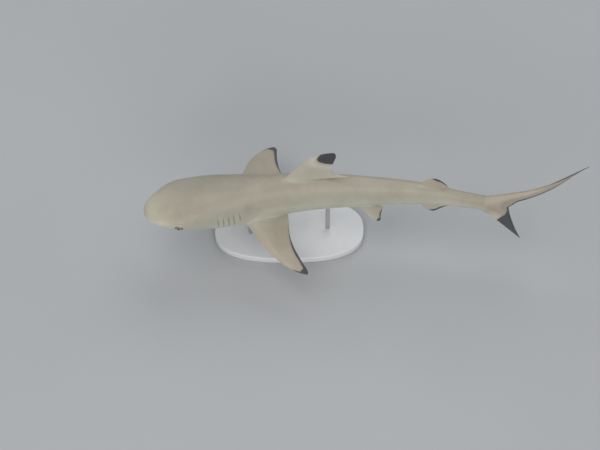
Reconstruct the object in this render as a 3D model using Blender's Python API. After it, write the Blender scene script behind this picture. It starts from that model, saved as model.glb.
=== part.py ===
"""Young blacktip reef shark, a still life-size model held by a plain display stand.

The animal is laid out straight first: x runs back from the snout, y to its right side and z up,
all as shares of LENGTH. One lofted body carries every fin; the whole is then turned along the
swimming curve of the backbone and set over the base. Metres, +Z up, head towards -X, and the
origin is the middle of the base's underside.
"""

import math

import bmesh
import bpy
import numpy as np

for old in list(bpy.data.objects):
    bpy.data.objects.remove(old, do_unlink=True)

# ---------------------------------------------------------------- driving sizes, metres
LENGTH = 0.600            # the animal's full length, to which every share below belongs
AXIS_HEIGHT = 0.096       # body axis above the surface under the base
BALANCE = 0.322           # share of LENGTH that stands over the middle of the base
GAP = 0.0003              # clearance between pieces that meet
EDGE = 0.0007             # thickness of a fin at its edges

BASE_LENGTH, BASE_WIDTH, BASE_THICK, BASE_BEVEL = 0.200, 0.096, 0.010, 0.0015
ROD_RADIUS = 0.0030
ROD_AT = (0.236, 0.408)   # shares of LENGTH where the rods meet the belly

EYE_AT = (0.0730, 99.0)   # share of LENGTH, degrees round from the back
EYE_LONG, EYE_HIGH, EYE_DEEP = 0.0075, 0.0062, 0.0062    # half sizes of the eyeball

HEAD_END, TRUNK_END, TAIL_END = 0.207, 0.565, 0.740

# ---------------------------------------------------------------- the body's own measures
# name, distance from the snout, half width, top and bottom, as shares of LENGTH
STATIONS = (
    ("snout_tip", 0.000, 0.0000, -0.0170, -0.0170),
    ("snout_pad", 0.006, 0.0195, -0.0045, -0.0262),
    ("nostril", 0.032, 0.0405, 0.0105, -0.0325),
    ("eye_front", 0.063, 0.0545, 0.0240, -0.0365),
    ("eye_back", 0.092, 0.0600, 0.0330, -0.0405),
    ("jaw_corner", 0.118, 0.0600, 0.0388, -0.0445),
    ("first_gill", 0.155, 0.0595, 0.0446, -0.0490),
    ("last_gill", 0.205, 0.0550, 0.0492, -0.0525),
    ("pectoral_mid", 0.245, 0.0478, 0.0515, -0.0525),
    ("pectoral_back", 0.285, 0.0412, 0.0525, -0.0510),
    ("dorsal_front", 0.325, 0.0388, 0.0520, -0.0495),
    ("dorsal_back", 0.400, 0.0337, 0.0485, -0.0450),
    ("belly", 0.460, 0.0302, 0.0445, -0.0405),
    ("pelvic_mid", 0.520, 0.0258, 0.0400, -0.0350),
    ("second_dorsal", 0.600, 0.0212, 0.0340, -0.0275),
    ("anal_back", 0.665, 0.0160, 0.0275, -0.0205),
    ("peduncle", 0.710, 0.0145, 0.0238, -0.0172),
    ("caudal_root", 0.740, 0.0132, 0.0222, -0.0205),
)
# where the widest level lies between bottom and top, and how square the section is above and below it
WIDEST = ((0.00, 0.50), (0.06, 0.46), (0.12, 0.39), (0.20, 0.31), (0.30, 0.39), (0.50, 0.43), (0.74, 0.45))
ROUND_TOP = ((0.00, 2.00), (0.05, 2.15), (0.12, 2.20), (0.20, 2.10), (0.35, 2.00), (0.74, 2.00))
ROUND_BELLY = ((0.00, 2.00), (0.03, 2.50), (0.12, 2.60), (0.20, 2.35), (0.35, 2.10), (0.74, 2.00))

# turn of the backbone towards the right side, degrees, against distance from the snout
BEND = (
    (0.00, 14.0), (0.10, 9.0), (0.20, 5.0), (0.30, 5.2), (0.40, 0.6), (0.50, -2.2),
    (0.60, -6.5), (0.68, -12.0), (0.745, -7.2), (0.82, -4.2), (0.86, 3.2), (0.90, 13.0), (1.00, 16.5),
)

# length along the backbone that each share of LENGTH really takes: the snout is a little blunter
BLUNT = ((0.00, 0.935), (0.05, 0.935), (0.10, 1.000), (1.00, 1.000))

# the tail's plate, shares of LENGTH
TAIL_EDGE = 0.241                    # length of its upper edge
TAIL_RISE = (19.0, 25.0)             # slope of that edge at its root and at its tip, degrees
LOWER_LOBE = (0.8365, -0.1150)       # tip of the lower lobe
FORK = (0.8010, -0.0120)
WEB = ((0.17, 0.0435), (0.30, 0.0420), (0.50, 0.0385), (0.70, 0.0345), (0.785, 0.0320), (0.815, 0.0262),
       (0.850, 0.0315), (0.885, 0.0325), (0.930, 0.0265), (0.970, 0.0150), (1.00, 0.0016))
LEAN = ((0.00, 0.0), (0.06, -3.0), (0.105, -4.0), (0.17, 3.0), (0.35, 9.0), (0.50, 13.0), (0.62, 15.5),
        (0.70, 18.5), (0.80, 24.5), (0.90, 31.0), (1.00, 34.0))


def curve(pairs, x):
    """Monotone cubic through (place, value) pairs, so no bump appears between them."""
    xs = np.array([p[0] for p in pairs], float)
    ys = np.array([p[1] for p in pairs], float)
    x = np.asarray(x, float)
    h = np.diff(xs)
    d = np.diff(ys) / h
    m = np.zeros(len(xs))
    m[0], m[-1] = d[0], d[-1]
    for k in range(1, len(xs) - 1):
        if d[k - 1] * d[k] > 0:
            a, b = 2 * h[k] + h[k - 1], h[k] + 2 * h[k - 1]
            m[k] = (a + b) / (a / d[k - 1] + b / d[k])
    i = np.clip(np.searchsorted(xs, x) - 1, 0, len(h) - 1)
    t = np.clip((x - xs[i]) / h[i], 0, 1)
    return ((2 * t**3 - 3 * t**2 + 1) * ys[i] + (t**3 - 2 * t**2 + t) * h[i] * m[i]
            + (3 * t**2 - 2 * t**3) * ys[i + 1] + (t**3 - t**2) * h[i] * m[i + 1])


def ease(a, b, x):
    t = np.clip((np.asarray(x, float) - a) / (b - a), 0, 1)
    return t * t * (3 - 2 * t)


def body_size(s):
    """Half width, top and bottom at s; the root of s rounds the snout off."""
    t = np.sqrt(np.clip(np.asarray(s, float), 0, None))
    return tuple(curve([(math.sqrt(r[1]), r[k]) for r in STATIONS], t) for k in (2, 3, 4))


def section(s, th, grow=0.0):
    """(y, z) on the body's section at s, th turned from the back towards the right side."""
    w, top, bot = body_size(s)
    zc = bot + (top - bot) * curve(WIDEST, s)
    c, sn = np.cos(th), np.sin(th)
    n = np.where(c >= 0, curve(ROUND_TOP, s), curve(ROUND_BELLY, s))
    r = (np.abs(sn) ** n + np.abs(c) ** n) ** (-1 / n)
    return (w + grow) * sn * r, zc + np.where(c >= 0, top - zc + grow, zc - bot + grow) * c * r


# ---------------------------------------------------------------- the swimming curve
_bs = np.linspace(-0.05, 1.10, 1151)
_ba = np.radians(curve(BEND, np.clip(_bs, 0, 1)))
_bd = curve(BLUNT, np.clip((_bs[1:] + _bs[:-1]) / 2, 0, 1)) * np.diff(_bs)
_bx = np.concatenate([[0], np.cumsum(np.cos((_ba[1:] + _ba[:-1]) / 2) * _bd)])
_by = np.concatenate([[0], np.cumsum(np.sin((_ba[1:] + _ba[:-1]) / 2) * _bd)])
_bx -= np.interp(BALANCE, _bs, _bx)
_by -= np.interp(BALANCE, _bs, _by)


def place(p):
    """Straight body coordinates, shares of LENGTH, to their place over the base, metres."""
    p = np.asarray(p, float)
    x, y, z = p[..., 0], p[..., 1], p[..., 2]
    a = np.interp(x, _bs, _ba)
    q = np.stack([np.interp(x, _bs, _bx) - y * np.sin(a), np.interp(x, _bs, _by) + y * np.cos(a), z], -1)
    return q * LENGTH + np.array([0.0, 0.0, AXIS_HEIGHT])


# ---------------------------------------------------------------- making objects
def material(name, colour, rough, metal=0.0):
    m = bpy.data.materials.new(name)
    m.use_nodes = True
    b = m.node_tree.nodes["Principled BSDF"]
    b.inputs["Base Color"].default_value = (*colour, 1.0)
    b.inputs["Roughness"].default_value = rough
    b.inputs["Metallic"].default_value = metal
    m.diffuse_color = (*colour, 1.0)
    return m


def add(name, bm, mat, smooth=True):
    bmesh.ops.recalc_face_normals(bm, faces=bm.faces[:])
    me = bpy.data.meshes.new(name)
    bm.to_mesh(me)
    bm.free()
    if mat:
        me.materials.append(mat)
    if smooth:
        me.shade_smooth()
        me.set_sharp_from_angle(angle=math.radians(40))
    ob = bpy.data.objects.new(name, me)
    bpy.context.scene.collection.objects.link(ob)
    return ob


def loft(rings, start_point=None, end_point=None):
    """Closed tube through rings of equal count; an end is a point or a flat cap."""
    bm = bmesh.new()
    rows = [[bm.verts.new(p) for p in ring] for ring in rings]
    n = len(rows[0])
    for a, b in zip(rows[:-1], rows[1:]):
        for j in range(n):
            k = (j + 1) % n
            bm.faces.new((a[j], a[k], b[k], b[j]))
    for row, point in ((rows[0], start_point), (rows[-1], end_point)):
        if point is None:
            bm.faces.new(row)
        else:
            tip = bm.verts.new(point)
            for j in range(n):
                bm.faces.new((row[j], row[(j + 1) % n], tip))
    bmesh.ops.triangulate(bm, faces=bm.faces[:])
    return bm


def cut(ob, cutter):
    m = ob.modifiers.new("cut_" + cutter.name, "BOOLEAN")
    m.operation = "DIFFERENCE"
    m.solver = "EXACT"
    m.object = cutter


def guide(ob):
    ob.hide_render = True
    ob.display_type = "WIRE"
    return ob


# ---------------------------------------------------------------- body: head, trunk and tail
COLUMNS = 30
TH = np.linspace(0, 2 * math.pi, COLUMNS, endpoint=False)
SPLIT = GAP / LENGTH / 2


def body_rings(places, grow=0.0):
    s = np.asarray(places, float)[:, None]
    y, z = section(s, TH[None, :], grow)
    return place(np.stack([np.broadcast_to(s, y.shape), y, z], -1))


def places(a, b, n, power=1.0):
    return list(a + (b - a) * np.linspace(0, 1, n) ** power)


HEAD_S = places(0.0012, HEAD_END - SPLIT, 19, 1.7)
TRUNK_S = places(HEAD_END + SPLIT, TRUNK_END - SPLIT, 19)
TAIL_S = places(TRUNK_END + SPLIT, TAIL_END - SPLIT, 10)

skin_back = material("shark_back", (0.300, 0.285, 0.225), 0.45)
skin_fin = material("shark_fin", (0.330, 0.300, 0.235), 0.45)
skin_tip = material("shark_black_tipped_fin", (0.210, 0.200, 0.170), 0.45)
eye_mat = material("shark_eye", (0.030, 0.028, 0.020), 0.08)
base_mat = material("stand_painted_plate", (0.600, 0.600, 0.590), 0.40)
rod_mat = material("stand_steel", (0.560, 0.565, 0.570), 0.28, 1.0)

snout = place([0.0, 0.0, STATIONS[0][3]])
head = add("head", loft(body_rings(HEAD_S), start_point=snout), skin_back)
trunk = add("trunk", loft(body_rings(TRUNK_S)), skin_back)
tail = add("tail", loft(body_rings(TAIL_S)), skin_back)
whole = HEAD_S + TRUNK_S + TAIL_S
body_clear = guide(add("body_clearance", loft(
    body_rings(whole, GAP / LENGTH), start_point=place([-GAP / LENGTH, 0.0, STATIONS[0][3]])), None, False))


# ---------------------------------------------------------------- eyes
def surface_frame(s, side, th_deg):
    """Point and outward normal of the body's surface, placed."""
    e = 1e-3
    th = side * math.radians(th_deg)

    def at(ss, tt):
        y, z = section(np.array(ss), np.array(tt))
        return place([ss, float(y), float(z)])
    p = at(s, th)
    along = at(s + e, th) - at(s - e, th)
    around = at(s, th + e) - at(s, th - e)
    along /= np.linalg.norm(along)
    n = np.cross(along, around)
    n /= np.linalg.norm(n)
    if n[1] * side < 0:
        n = -n
    up = np.cross(n, along)
    if up[2] < 0:
        up = -up
    return p, along, up, n


def eyeball(name, side, grow, mat):
    p, along, up, n = surface_frame(EYE_AT[0], side, EYE_AT[1])
    centre = p - n * (EYE_DEEP * 0.72)
    bm = bmesh.new()
    bmesh.ops.create_uvsphere(bm, u_segments=16, v_segments=10, radius=1.0)
    for v in bm.verts:
        q = (centre + along * v.co.x * (EYE_LONG + grow) + up * v.co.y * (EYE_HIGH + grow)
             + n * v.co.z * (EYE_DEEP + grow))
        v.co = q
    bmesh.ops.triangulate(bm, faces=bm.faces[:])
    return add(name, bm, mat)


for word, side in (("left", -1), ("right", 1)):
    eyeball("eye_" + word, side, 0.0, eye_mat)
    cut(head, guide(eyeball("socket_" + word, side, GAP, None)))


# ---------------------------------------------------------------- tail fin
def upper_edge(d):
    d = np.asarray(d, float)
    a0, a1 = (math.radians(v) for v in TAIL_RISE)
    k = (a1 - a0) / TAIL_EDGE
    a = a0 + k * d * TAIL_EDGE
    return (TAIL_END + (np.sin(a) - math.sin(a0)) / k,
            body_size(TAIL_END)[1] + (math.cos(a0) - np.cos(a)) / k, np.cos(a), np.sin(a))


def arc(p0, p1, p2, t):
    return tuple((1 - t) ** 2 * p0[k] + 2 * t * (1 - t) * p1[k] + t * t * p2[k] for k in (0, 1))


def tail_row(c):
    """One line of the plate. c runs 0-1 down the lower lobe's front edge, 1-2 up its back edge to the fork,
    2-3 along the upper lobe to its tip. Gives upper end, lower end and share along the upper edge."""
    root = (TAIL_END, float(body_size(TAIL_END)[2]))
    if c <= 1:
        d = 0.105 * c ** 0.9
        v = arc(root, (root[0] + 0.048, root[1] - 0.045), LOWER_LOBE, c)
    elif c <= 2:
        d = 0.105 + 0.065 * (c - 1)
        v = arc(LOWER_LOBE, (FORK[0] + 0.003, FORK[1] - 0.034), FORK, c - 1)
    else:
        d = 0.17 + 0.83 * (c - 2)
        x, z, cx, cz = (float(q) for q in upper_edge(d))
        w = float(curve(WEB, d))
        v = (x + cz * w, z - cx * w)
        if d < 0.30:
            k = float(ease(0.17, 0.30, d))
            f = (FORK[0] + (d - 0.17) * TAIL_EDGE * cx, FORK[1] + (d - 0.17) * TAIL_EDGE * cz)
            v = ((1 - k) * f[0] + k * v[0], (1 - k) * f[1] + k * v[1])
    x, z, _, _ = upper_edge(d)
    return (float(x), float(z)), v, d


def tail_ring(c, th, shift=0.0):
    """Closed section round one line of the plate: a body section at the root, a thin blade later."""
    D, V, d = tail_row(c)
    v = (1 - np.cos(th)) / 2
    side = np.sin(th)
    span = math.hypot(V[0] - D[0], V[1] - D[1])
    dist = v * span
    w0, top, bot = (float(q) for q in body_size(TAIL_END))
    core_at = curve(((0.0, 0.021), (0.10, 0.018), (0.20, 0.015), (0.50, 0.011), (0.80, 0.008), (1.0, 0.001)), d)
    core_w = curve(((0.0, w0), (0.10, 0.0105), (0.20, 0.0085), (0.50, 0.0052), (0.80, 0.0030), (1.0, 0.0008)), d)
    edge = EDGE / LENGTH / 2
    spread = np.where(dist < core_at, core_at * 0.75, 0.55 * core_at + 0.16 * span)
    blade = edge + (core_w - edge) * np.exp(-((dist - core_at) / spread) ** 2)
    blade = blade * np.abs(side) ** 0.30
    k = float(ease(0.0, 0.45, c))
    half = (1 - k) * w0 * np.abs(side) + k * blade
    lean = math.radians(float(curve(LEAN, d)))
    x = D[0] + (V[0] - D[0]) * v + shift
    drop = (D[1] - V[1]) * v
    y = np.sign(side) * half * math.cos(lean) + drop * math.sin(lean)
    z = D[1] - drop * math.cos(lean) - np.sign(side) * half * math.sin(lean) * 0.0
    return place(np.stack([x, y, z], -1))


TAIL_TH = np.radians(np.array([0, 8, 30, 60, 90, 120, 150, 172], float))
TAIL_TH = np.concatenate([TAIL_TH, [math.pi], 2 * math.pi - TAIL_TH[:0:-1]])
tail_c = (list(np.linspace(0, 0.90, 8)) + [0.97, 1.0, 1.03] + list(np.linspace(1.12, 1.88, 6))
          + [1.96, 2.0, 2.04] + list(np.linspace(2.12, 2.70, 8)) + [2.74, 2.76, 2.777, 2.80, 2.83, 2.87, 2.91, 2.95, 2.98, 3.0])
rings = [tail_ring(c, TAIL_TH, SPLIT if c == 0 else SPLIT * 0.5) for c in tail_c]
add("caudal_fin", loft(rings), skin_tip)


# ---------------------------------------------------------------- the other fins
class Fin:
    """A fin's plan: a runs back and b outward from its front root, shares of LENGTH.
    Lines of constant h run from the front edge to the back edge; h is 0 at the root and 1 at the tip."""

    def __init__(self, base, apex, free, at_free, bow, hollow, tip, thick, deep, shear=0.0, reach=1.0, blunt=0.10,
                 low=0.0):
        self.blunt, self.low = blunt, low
        self.base, self.apex, self.free, self.at_free = base, apex, free, at_free
        self.bow, self.hollow, self.tip, self.thick, self.deep = bow, hollow, tip, thick, deep
        self.shear, self.reach = shear, reach

    def front(self, h):
        ax, ay = self.apex
        n = math.hypot(ax, ay)
        k = 4 * h * (1 - h) * self.bow * (0.55 + 0.9 * h)
        return ax * h - k * ay / n, ay * h + k * ax / n

    def back(self, h):
        ax, ay = self.apex[0] + self.tip * 0.9, self.apex[1] - self.tip * 0.25
        fx, fy = self.free
        if h < self.at_free:
            t = h / self.at_free
            return self.base + (fx - self.base) * (1 - (1 - t) ** 1.6), fy * t
        u = (h - self.at_free) / (1 - self.at_free)
        n = math.hypot(ax - fx, ay - fy)
        off = self.hollow * 4 * u * (1 - u) * (1.25 + self.low - (0.5 + 2 * self.low) * u)
        return fx + (ax - fx) * u - off * (ay - fy) / n, fy + (ay - fy) * u + off * (ax - fx) / n

    def line(self, h):
        """Front and back ends of the line at h, with the tip rounded off and the root carried inward."""
        if h < 0:
            f, b = self.front(0.0), self.back(0.0)
            inset = 0.06 * (b[0] - f[0])
            f, b = (f[0] + inset, h * self.deep), (b[0] - inset, h * self.deep)
        else:
            f, b = self.front(h), self.back(h)
            if h > 1 - self.blunt:
                r = 1 - math.sqrt(max(0.0, 1 - ((h - 1) / self.blunt + 1) ** 2))
                r *= 0.93
                m = ((f[0] + b[0]) / 2, (f[1] + b[1]) / 2)
                f = (f[0] + (m[0] - f[0]) * r, f[1] + (m[1] - f[1]) * r)
                b = (b[0] + (m[0] - b[0]) * r, b[1] + (m[1] - b[1]) * r)
        put = lambda p: (p[0] + self.shear * max(p[1], 0.0), p[1] * (self.reach if p[1] > 0 else 1.0))
        return put(f), put(b)

    def half_thick(self, h, u):
        """Half thickness at share u of the chord: full a third of the way back, thin at both edges."""
        body = self.thick * (0.16 + 0.84 * (1 - np.clip(h, 0, 1)) ** 1.15)
        edge = EDGE / LENGTH / 2
        shape = np.where(u < 0.28, np.sin(np.clip(u / 0.28, 0, 1) * math.pi / 2) ** 0.8,
                         np.cos(np.clip((u - 0.28) / 0.72, 0, 1) * math.pi / 2) ** 1.2)
        return np.maximum(edge, edge + (body - edge) * shape)


LARGE = (9, [-1.0, -0.35, 0.0, 0.06, 0.13, 0.22, 0.34, 0.47, 0.60, 0.72, 0.82, 0.90, 0.945, 0.98, 1.0])
SMALL = (7, [-1.0, 0.0, 0.07, 0.14, 0.30, 0.48, 0.66, 0.80, 0.90, 0.955, 1.0])


def fin_solid(name, fin, to_body, mat, grid):
    """Loft the fin: each ring goes back along one face and forward along the other."""
    across = (1 - np.cos(np.linspace(0, math.pi, grid[0]))) / 2
    rings = []
    for h in grid[1]:
        f, b = fin.line(h)
        a = f[0] + (b[0] - f[0]) * across
        o = f[1] + (b[1] - f[1]) * across
        t = fin.half_thick(h, across)
        ring = [to_body(a[k], o[k], t[k]) for k in range(grid[0])]
        ring += [to_body(a[k], o[k], -t[k]) for k in reversed(range(grid[0]))]
        rings.append(place(np.array(ring)))
    ob = add(name, loft(rings), mat)
    cut(ob, body_clear)
    return ob


def upright(origin, sign):
    """Fin that stands on the back (sign 1) or hangs under the belly (sign -1), following its line."""
    def to_body(a, b, t):
        _, top, bot = body_size(origin + a)
        z = float(top) + b if sign > 0 else float(bot) - b
        return (origin + a, t, z)
    return to_body


def spread(origin, y0, z0, side, droop0, droop1, length, pitch):
    """Fin that spreads to one side, drooping more towards its tip."""
    def to_body(a, b, t):
        k = min(max(b / length, 0.0), 1.0)
        d0, d1 = math.radians(droop0), math.radians(droop1)
        out = b * math.cos((d0 + (d0 + (d1 - d0) * k)) / 2)
        down = b * math.sin((d0 + (d0 + (d1 - d0) * k)) / 2)
        tilt = -math.tan(math.radians(pitch)) * (a - 0.03)
        return (origin + a, side * (y0 + out), z0 - down + tilt + t)
    return to_body


PECTORAL = dict(at_free=0.13, tip=0.014, thick=0.0105, deep=0.024)
LEFT_PLAN = dict(base=0.0945, apex=(0.1045, 0.138), free=(0.0935, 0.0120), bow=0.0205, hollow=0.013)
RIGHT_PLAN = dict(base=0.1085, apex=(0.1045, 0.1385), free=(0.1080, 0.0120), bow=0.0165, hollow=0.008, blunt=0.08)
DORSAL = Fin(base=0.090, apex=(0.100, 0.0940), free=(0.142, 0.0075), at_free=0.11, bow=0.0125, hollow=0.026,
             tip=0.014, thick=0.0085, deep=0.018, blunt=0.13, low=0.40)
SECOND = Fin(base=0.046, apex=(0.034, 0.0335), free=(0.0665, 0.0075), at_free=0.18, bow=0.004, hollow=-0.002,
             tip=0.013, thick=0.0048, deep=0.012, blunt=0.16)
ANAL = Fin(base=0.044, apex=(0.034, 0.036), free=(0.069, 0.0090), at_free=0.20, bow=0.004, hollow=0.001,
           tip=0.006, thick=0.0048, deep=0.010)
PELVIC = dict(base=0.043, apex=(0.043, 0.035), free=(0.055, 0.0050), at_free=0.14, bow=0.003, hollow=0.002,
              tip=0.008, thick=0.0055, deep=0.010)

fin_solid("pectoral_fin_left", Fin(shear=0.14, reach=0.93, **PECTORAL, **LEFT_PLAN),
          spread(0.2222, 0.045, -0.034, -1, 8, 22, 0.14, 3), skin_tip, LARGE)
fin_solid("pectoral_fin_right", Fin(shear=-0.14, reach=1.114, **PECTORAL, **RIGHT_PLAN),
          spread(0.214, 0.045, -0.034, 1, 13, 27, 0.14, 3), skin_tip, LARGE)
fin_solid("first_dorsal_fin", DORSAL, upright(0.312, 1), skin_tip, LARGE)
fin_solid("second_dorsal_fin", SECOND, upright(0.602, 1), skin_tip, SMALL)
fin_solid("anal_fin", ANAL, upright(0.603, -1), skin_tip, SMALL)
fin_solid("pelvic_fin_left", Fin(**PELVIC), spread(0.474, 0.0150, -0.0310, -1, 26, 34, 0.04, 2), skin_tip, SMALL)
fin_solid("pelvic_fin_right", Fin(**PELVIC), spread(0.474, 0.0150, -0.0310, 1, 26, 34, 0.04, 2), skin_tip, SMALL)

# ---------------------------------------------------------------- stand
bm = bmesh.new()
bmesh.ops.create_circle(bm, cap_ends=True, segments=64, radius=1.0)
for v in bm.verts:
    a = math.atan2(v.co.y, v.co.x)
    c, s = math.cos(a), math.sin(a)
    n = 2.6
    r = (abs(c) ** n + abs(s) ** n) ** (-1 / n)
    v.co = (c * r * BASE_LENGTH / 2, s * r * BASE_WIDTH / 2, 0.0)
made = bmesh.ops.extrude_face_region(bm, geom=bm.faces[:])
for v in (g for g in made["geom"] if isinstance(g, bmesh.types.BMVert)):
    v.co.z = BASE_THICK
base = add("stand_base", bm, base_mat)
bevel = base.modifiers.new("bevel", "BEVEL")
bevel.width = BASE_BEVEL
bevel.segments = 2
bevel.limit_method = "ANGLE"

for name, s in (("stand_rod_front", ROD_AT[0]), ("stand_rod_rear", ROD_AT[1])):
    foot = place([s, 0.0, 0.0])
    bm = bmesh.new()
    low, high = BASE_THICK + GAP, AXIS_HEIGHT - 0.010
    bmesh.ops.create_cone(bm, cap_ends=True, segments=20, radius1=ROD_RADIUS, radius2=ROD_RADIUS, depth=high - low)
    for v in bm.verts:
        v.co.x += foot[0]
        v.co.y += foot[1]
        v.co.z += (high + low) / 2
    rod = add(name, bm, rod_mat)
    cut(rod, body_clear)
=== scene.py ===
"""Looks of the young blacktip reef shark on its display stand.

One closed skin replaces every flesh node. It repeats the body's own measures, so it lies where the
solids lie, and adds lids, gill slits, nostrils, the mouth, the fins' blended roots and the markings.
Straight coordinates are shares of LENGTH: x runs back from the snout, y to the right side, z up.
"""

import math

import bmesh
import bpy
import numpy as np
from mathutils import Matrix, Vector


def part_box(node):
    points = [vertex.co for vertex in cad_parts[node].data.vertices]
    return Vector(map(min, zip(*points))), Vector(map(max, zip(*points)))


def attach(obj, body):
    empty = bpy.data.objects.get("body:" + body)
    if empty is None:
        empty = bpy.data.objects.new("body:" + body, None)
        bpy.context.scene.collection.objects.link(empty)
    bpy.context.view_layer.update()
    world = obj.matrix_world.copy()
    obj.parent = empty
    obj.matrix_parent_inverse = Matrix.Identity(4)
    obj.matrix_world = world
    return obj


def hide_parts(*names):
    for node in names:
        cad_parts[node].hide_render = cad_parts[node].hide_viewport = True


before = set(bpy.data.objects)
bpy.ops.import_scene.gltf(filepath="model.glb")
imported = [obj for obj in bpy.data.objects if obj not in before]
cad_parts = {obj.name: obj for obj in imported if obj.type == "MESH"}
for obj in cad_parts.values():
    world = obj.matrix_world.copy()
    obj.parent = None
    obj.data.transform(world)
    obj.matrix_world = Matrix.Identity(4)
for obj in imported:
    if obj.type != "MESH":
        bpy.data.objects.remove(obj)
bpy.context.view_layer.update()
scene = bpy.context.scene

# ================================================================ sizes shared with the solids
LENGTH = 0.600
AXIS_HEIGHT = 0.096
BALANCE = 0.322
EDGE = 0.0007
MM = 0.001 / LENGTH              # one millimetre as a share of LENGTH

BASE_LENGTH, BASE_WIDTH, BASE_THICK, BASE_BEVEL = 0.200, 0.096, 0.010, 0.0015
ROD_RADIUS = 0.0030
ROD_AT = (0.236, 0.408)
EYE_AT = (0.0730, 99.0)
EYE_LONG, EYE_HIGH, EYE_DEEP = 0.0075, 0.0062, 0.0062
TAIL_END = 0.740

STATIONS = (
    (0.000, 0.0000, -0.0170, -0.0170), (0.006, 0.0195, -0.0045, -0.0262), (0.032, 0.0405, 0.0105, -0.0325),
    (0.063, 0.0545, 0.0240, -0.0365), (0.092, 0.0600, 0.0330, -0.0405), (0.118, 0.0600, 0.0388, -0.0445),
    (0.155, 0.0595, 0.0446, -0.0490), (0.205, 0.0550, 0.0492, -0.0525), (0.245, 0.0478, 0.0515, -0.0525),
    (0.285, 0.0412, 0.0525, -0.0510), (0.325, 0.0388, 0.0520, -0.0495), (0.400, 0.0337, 0.0485, -0.0450),
    (0.460, 0.0302, 0.0445, -0.0405), (0.520, 0.0258, 0.0400, -0.0350), (0.600, 0.0212, 0.0340, -0.0275),
    (0.665, 0.0160, 0.0275, -0.0205), (0.710, 0.0145, 0.0238, -0.0172), (0.740, 0.0132, 0.0222, -0.0205),
)
WIDEST = ((0.00, 0.50), (0.06, 0.46), (0.12, 0.39), (0.20, 0.31), (0.30, 0.39), (0.50, 0.43), (0.74, 0.45))
ROUND_TOP = ((0.00, 2.00), (0.05, 2.15), (0.12, 2.20), (0.20, 2.10), (0.35, 2.00), (0.74, 2.00))
ROUND_BELLY = ((0.00, 2.00), (0.03, 2.50), (0.12, 2.60), (0.20, 2.35), (0.35, 2.10), (0.74, 2.00))
BEND = (
    (0.00, 14.0), (0.10, 9.0), (0.20, 5.0), (0.30, 5.2), (0.40, 0.6), (0.50, -2.2),
    (0.60, -6.5), (0.68, -12.0), (0.745, -7.2), (0.82, -4.2), (0.86, 3.2), (0.90, 13.0), (1.00, 16.5),
)
BLUNT = ((0.00, 0.935), (0.05, 0.935), (0.10, 1.000), (1.00, 1.000))
TAIL_EDGE = 0.241
TAIL_RISE = (19.0, 25.0)
LOWER_LOBE = (0.8365, -0.1150)
FORK = (0.8010, -0.0120)
WEB = ((0.17, 0.0435), (0.30, 0.0420), (0.50, 0.0385), (0.70, 0.0345), (0.785, 0.0320), (0.815, 0.0262),
       (0.850, 0.0315), (0.885, 0.0325), (0.930, 0.0265), (0.970, 0.0150), (1.00, 0.0016))
LEAN = ((0.00, 0.0), (0.06, -3.0), (0.105, -4.0), (0.17, 3.0), (0.35, 9.0), (0.50, 13.0), (0.62, 15.5),
        (0.70, 18.5), (0.80, 24.5), (0.90, 31.0), (1.00, 34.0))


def curve(pairs, x):
    """Monotone cubic through (place, value) pairs, so no bump appears between them."""
    xs = np.array([p[0] for p in pairs], float)
    ys = np.array([p[1] for p in pairs], float)
    x = np.asarray(x, float)
    h = np.diff(xs)
    d = np.diff(ys) / h
    m = np.zeros(len(xs))
    m[0], m[-1] = d[0], d[-1]
    for k in range(1, len(xs) - 1):
        if d[k - 1] * d[k] > 0:
            a, b = 2 * h[k] + h[k - 1], h[k] + 2 * h[k - 1]
            m[k] = (a + b) / (a / d[k - 1] + b / d[k])
    i = np.clip(np.searchsorted(xs, x) - 1, 0, len(h) - 1)
    t = np.clip((x - xs[i]) / h[i], 0, 1)
    return ((2 * t**3 - 3 * t**2 + 1) * ys[i] + (t**3 - 2 * t**2 + t) * h[i] * m[i]
            + (3 * t**2 - 2 * t**3) * ys[i + 1] + (t**3 - t**2) * h[i] * m[i + 1])


def ease(a, b, x):
    t = np.clip((np.asarray(x, float) - a) / (b - a), 0, 1)
    return t * t * (3 - 2 * t)


def bell(x):
    return np.exp(-np.asarray(x, float) ** 2)


def body_size(s):
    t = np.sqrt(np.clip(np.asarray(s, float), 0, None))
    return tuple(curve([(math.sqrt(r[0]), r[k]) for r in STATIONS], t) for k in (1, 2, 3))


def surf(s, th):
    """The bare body's surface in straight coordinates, th turned from the back towards the right side."""
    s, th = np.broadcast_arrays(np.asarray(s, float), np.asarray(th, float))
    w, top, bot = body_size(s)
    zc = bot + (top - bot) * curve(WIDEST, s)
    c, sn = np.cos(th), np.sin(th)
    n = np.where(c >= 0, curve(ROUND_TOP, s), curve(ROUND_BELLY, s))
    r = (np.abs(sn) ** n + np.abs(c) ** n) ** (-1 / n)
    return np.stack([s, w * sn * r, zc + np.where(c >= 0, top - zc, zc - bot) * c * r], -1)


def surf_normal(s, th):
    s, th = np.broadcast_arrays(np.asarray(s, float), np.asarray(th, float))
    n = np.cross(surf(s + 5e-4, th) - surf(np.maximum(s - 5e-4, 0), th), surf(s, th + 2e-3) - surf(s, th - 2e-3))
    return n / np.maximum(np.linalg.norm(n, axis=-1, keepdims=True), 1e-12)


def beyond(p):
    """Below 0 inside the bare body, above 0 outside it."""
    w, top, bot = body_size(p[..., 0])
    zc = bot + (top - bot) * curve(WIDEST, p[..., 0])
    up = p[..., 2] >= zc
    n = np.where(up, curve(ROUND_TOP, p[..., 0]), curve(ROUND_BELLY, p[..., 0]))
    high = np.maximum(np.where(up, top - zc, zc - bot), 1e-9)
    return (np.abs(p[..., 1]) / np.maximum(w, 1e-9)) ** n + (np.abs(p[..., 2] - zc) / high) ** n - 1


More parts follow.
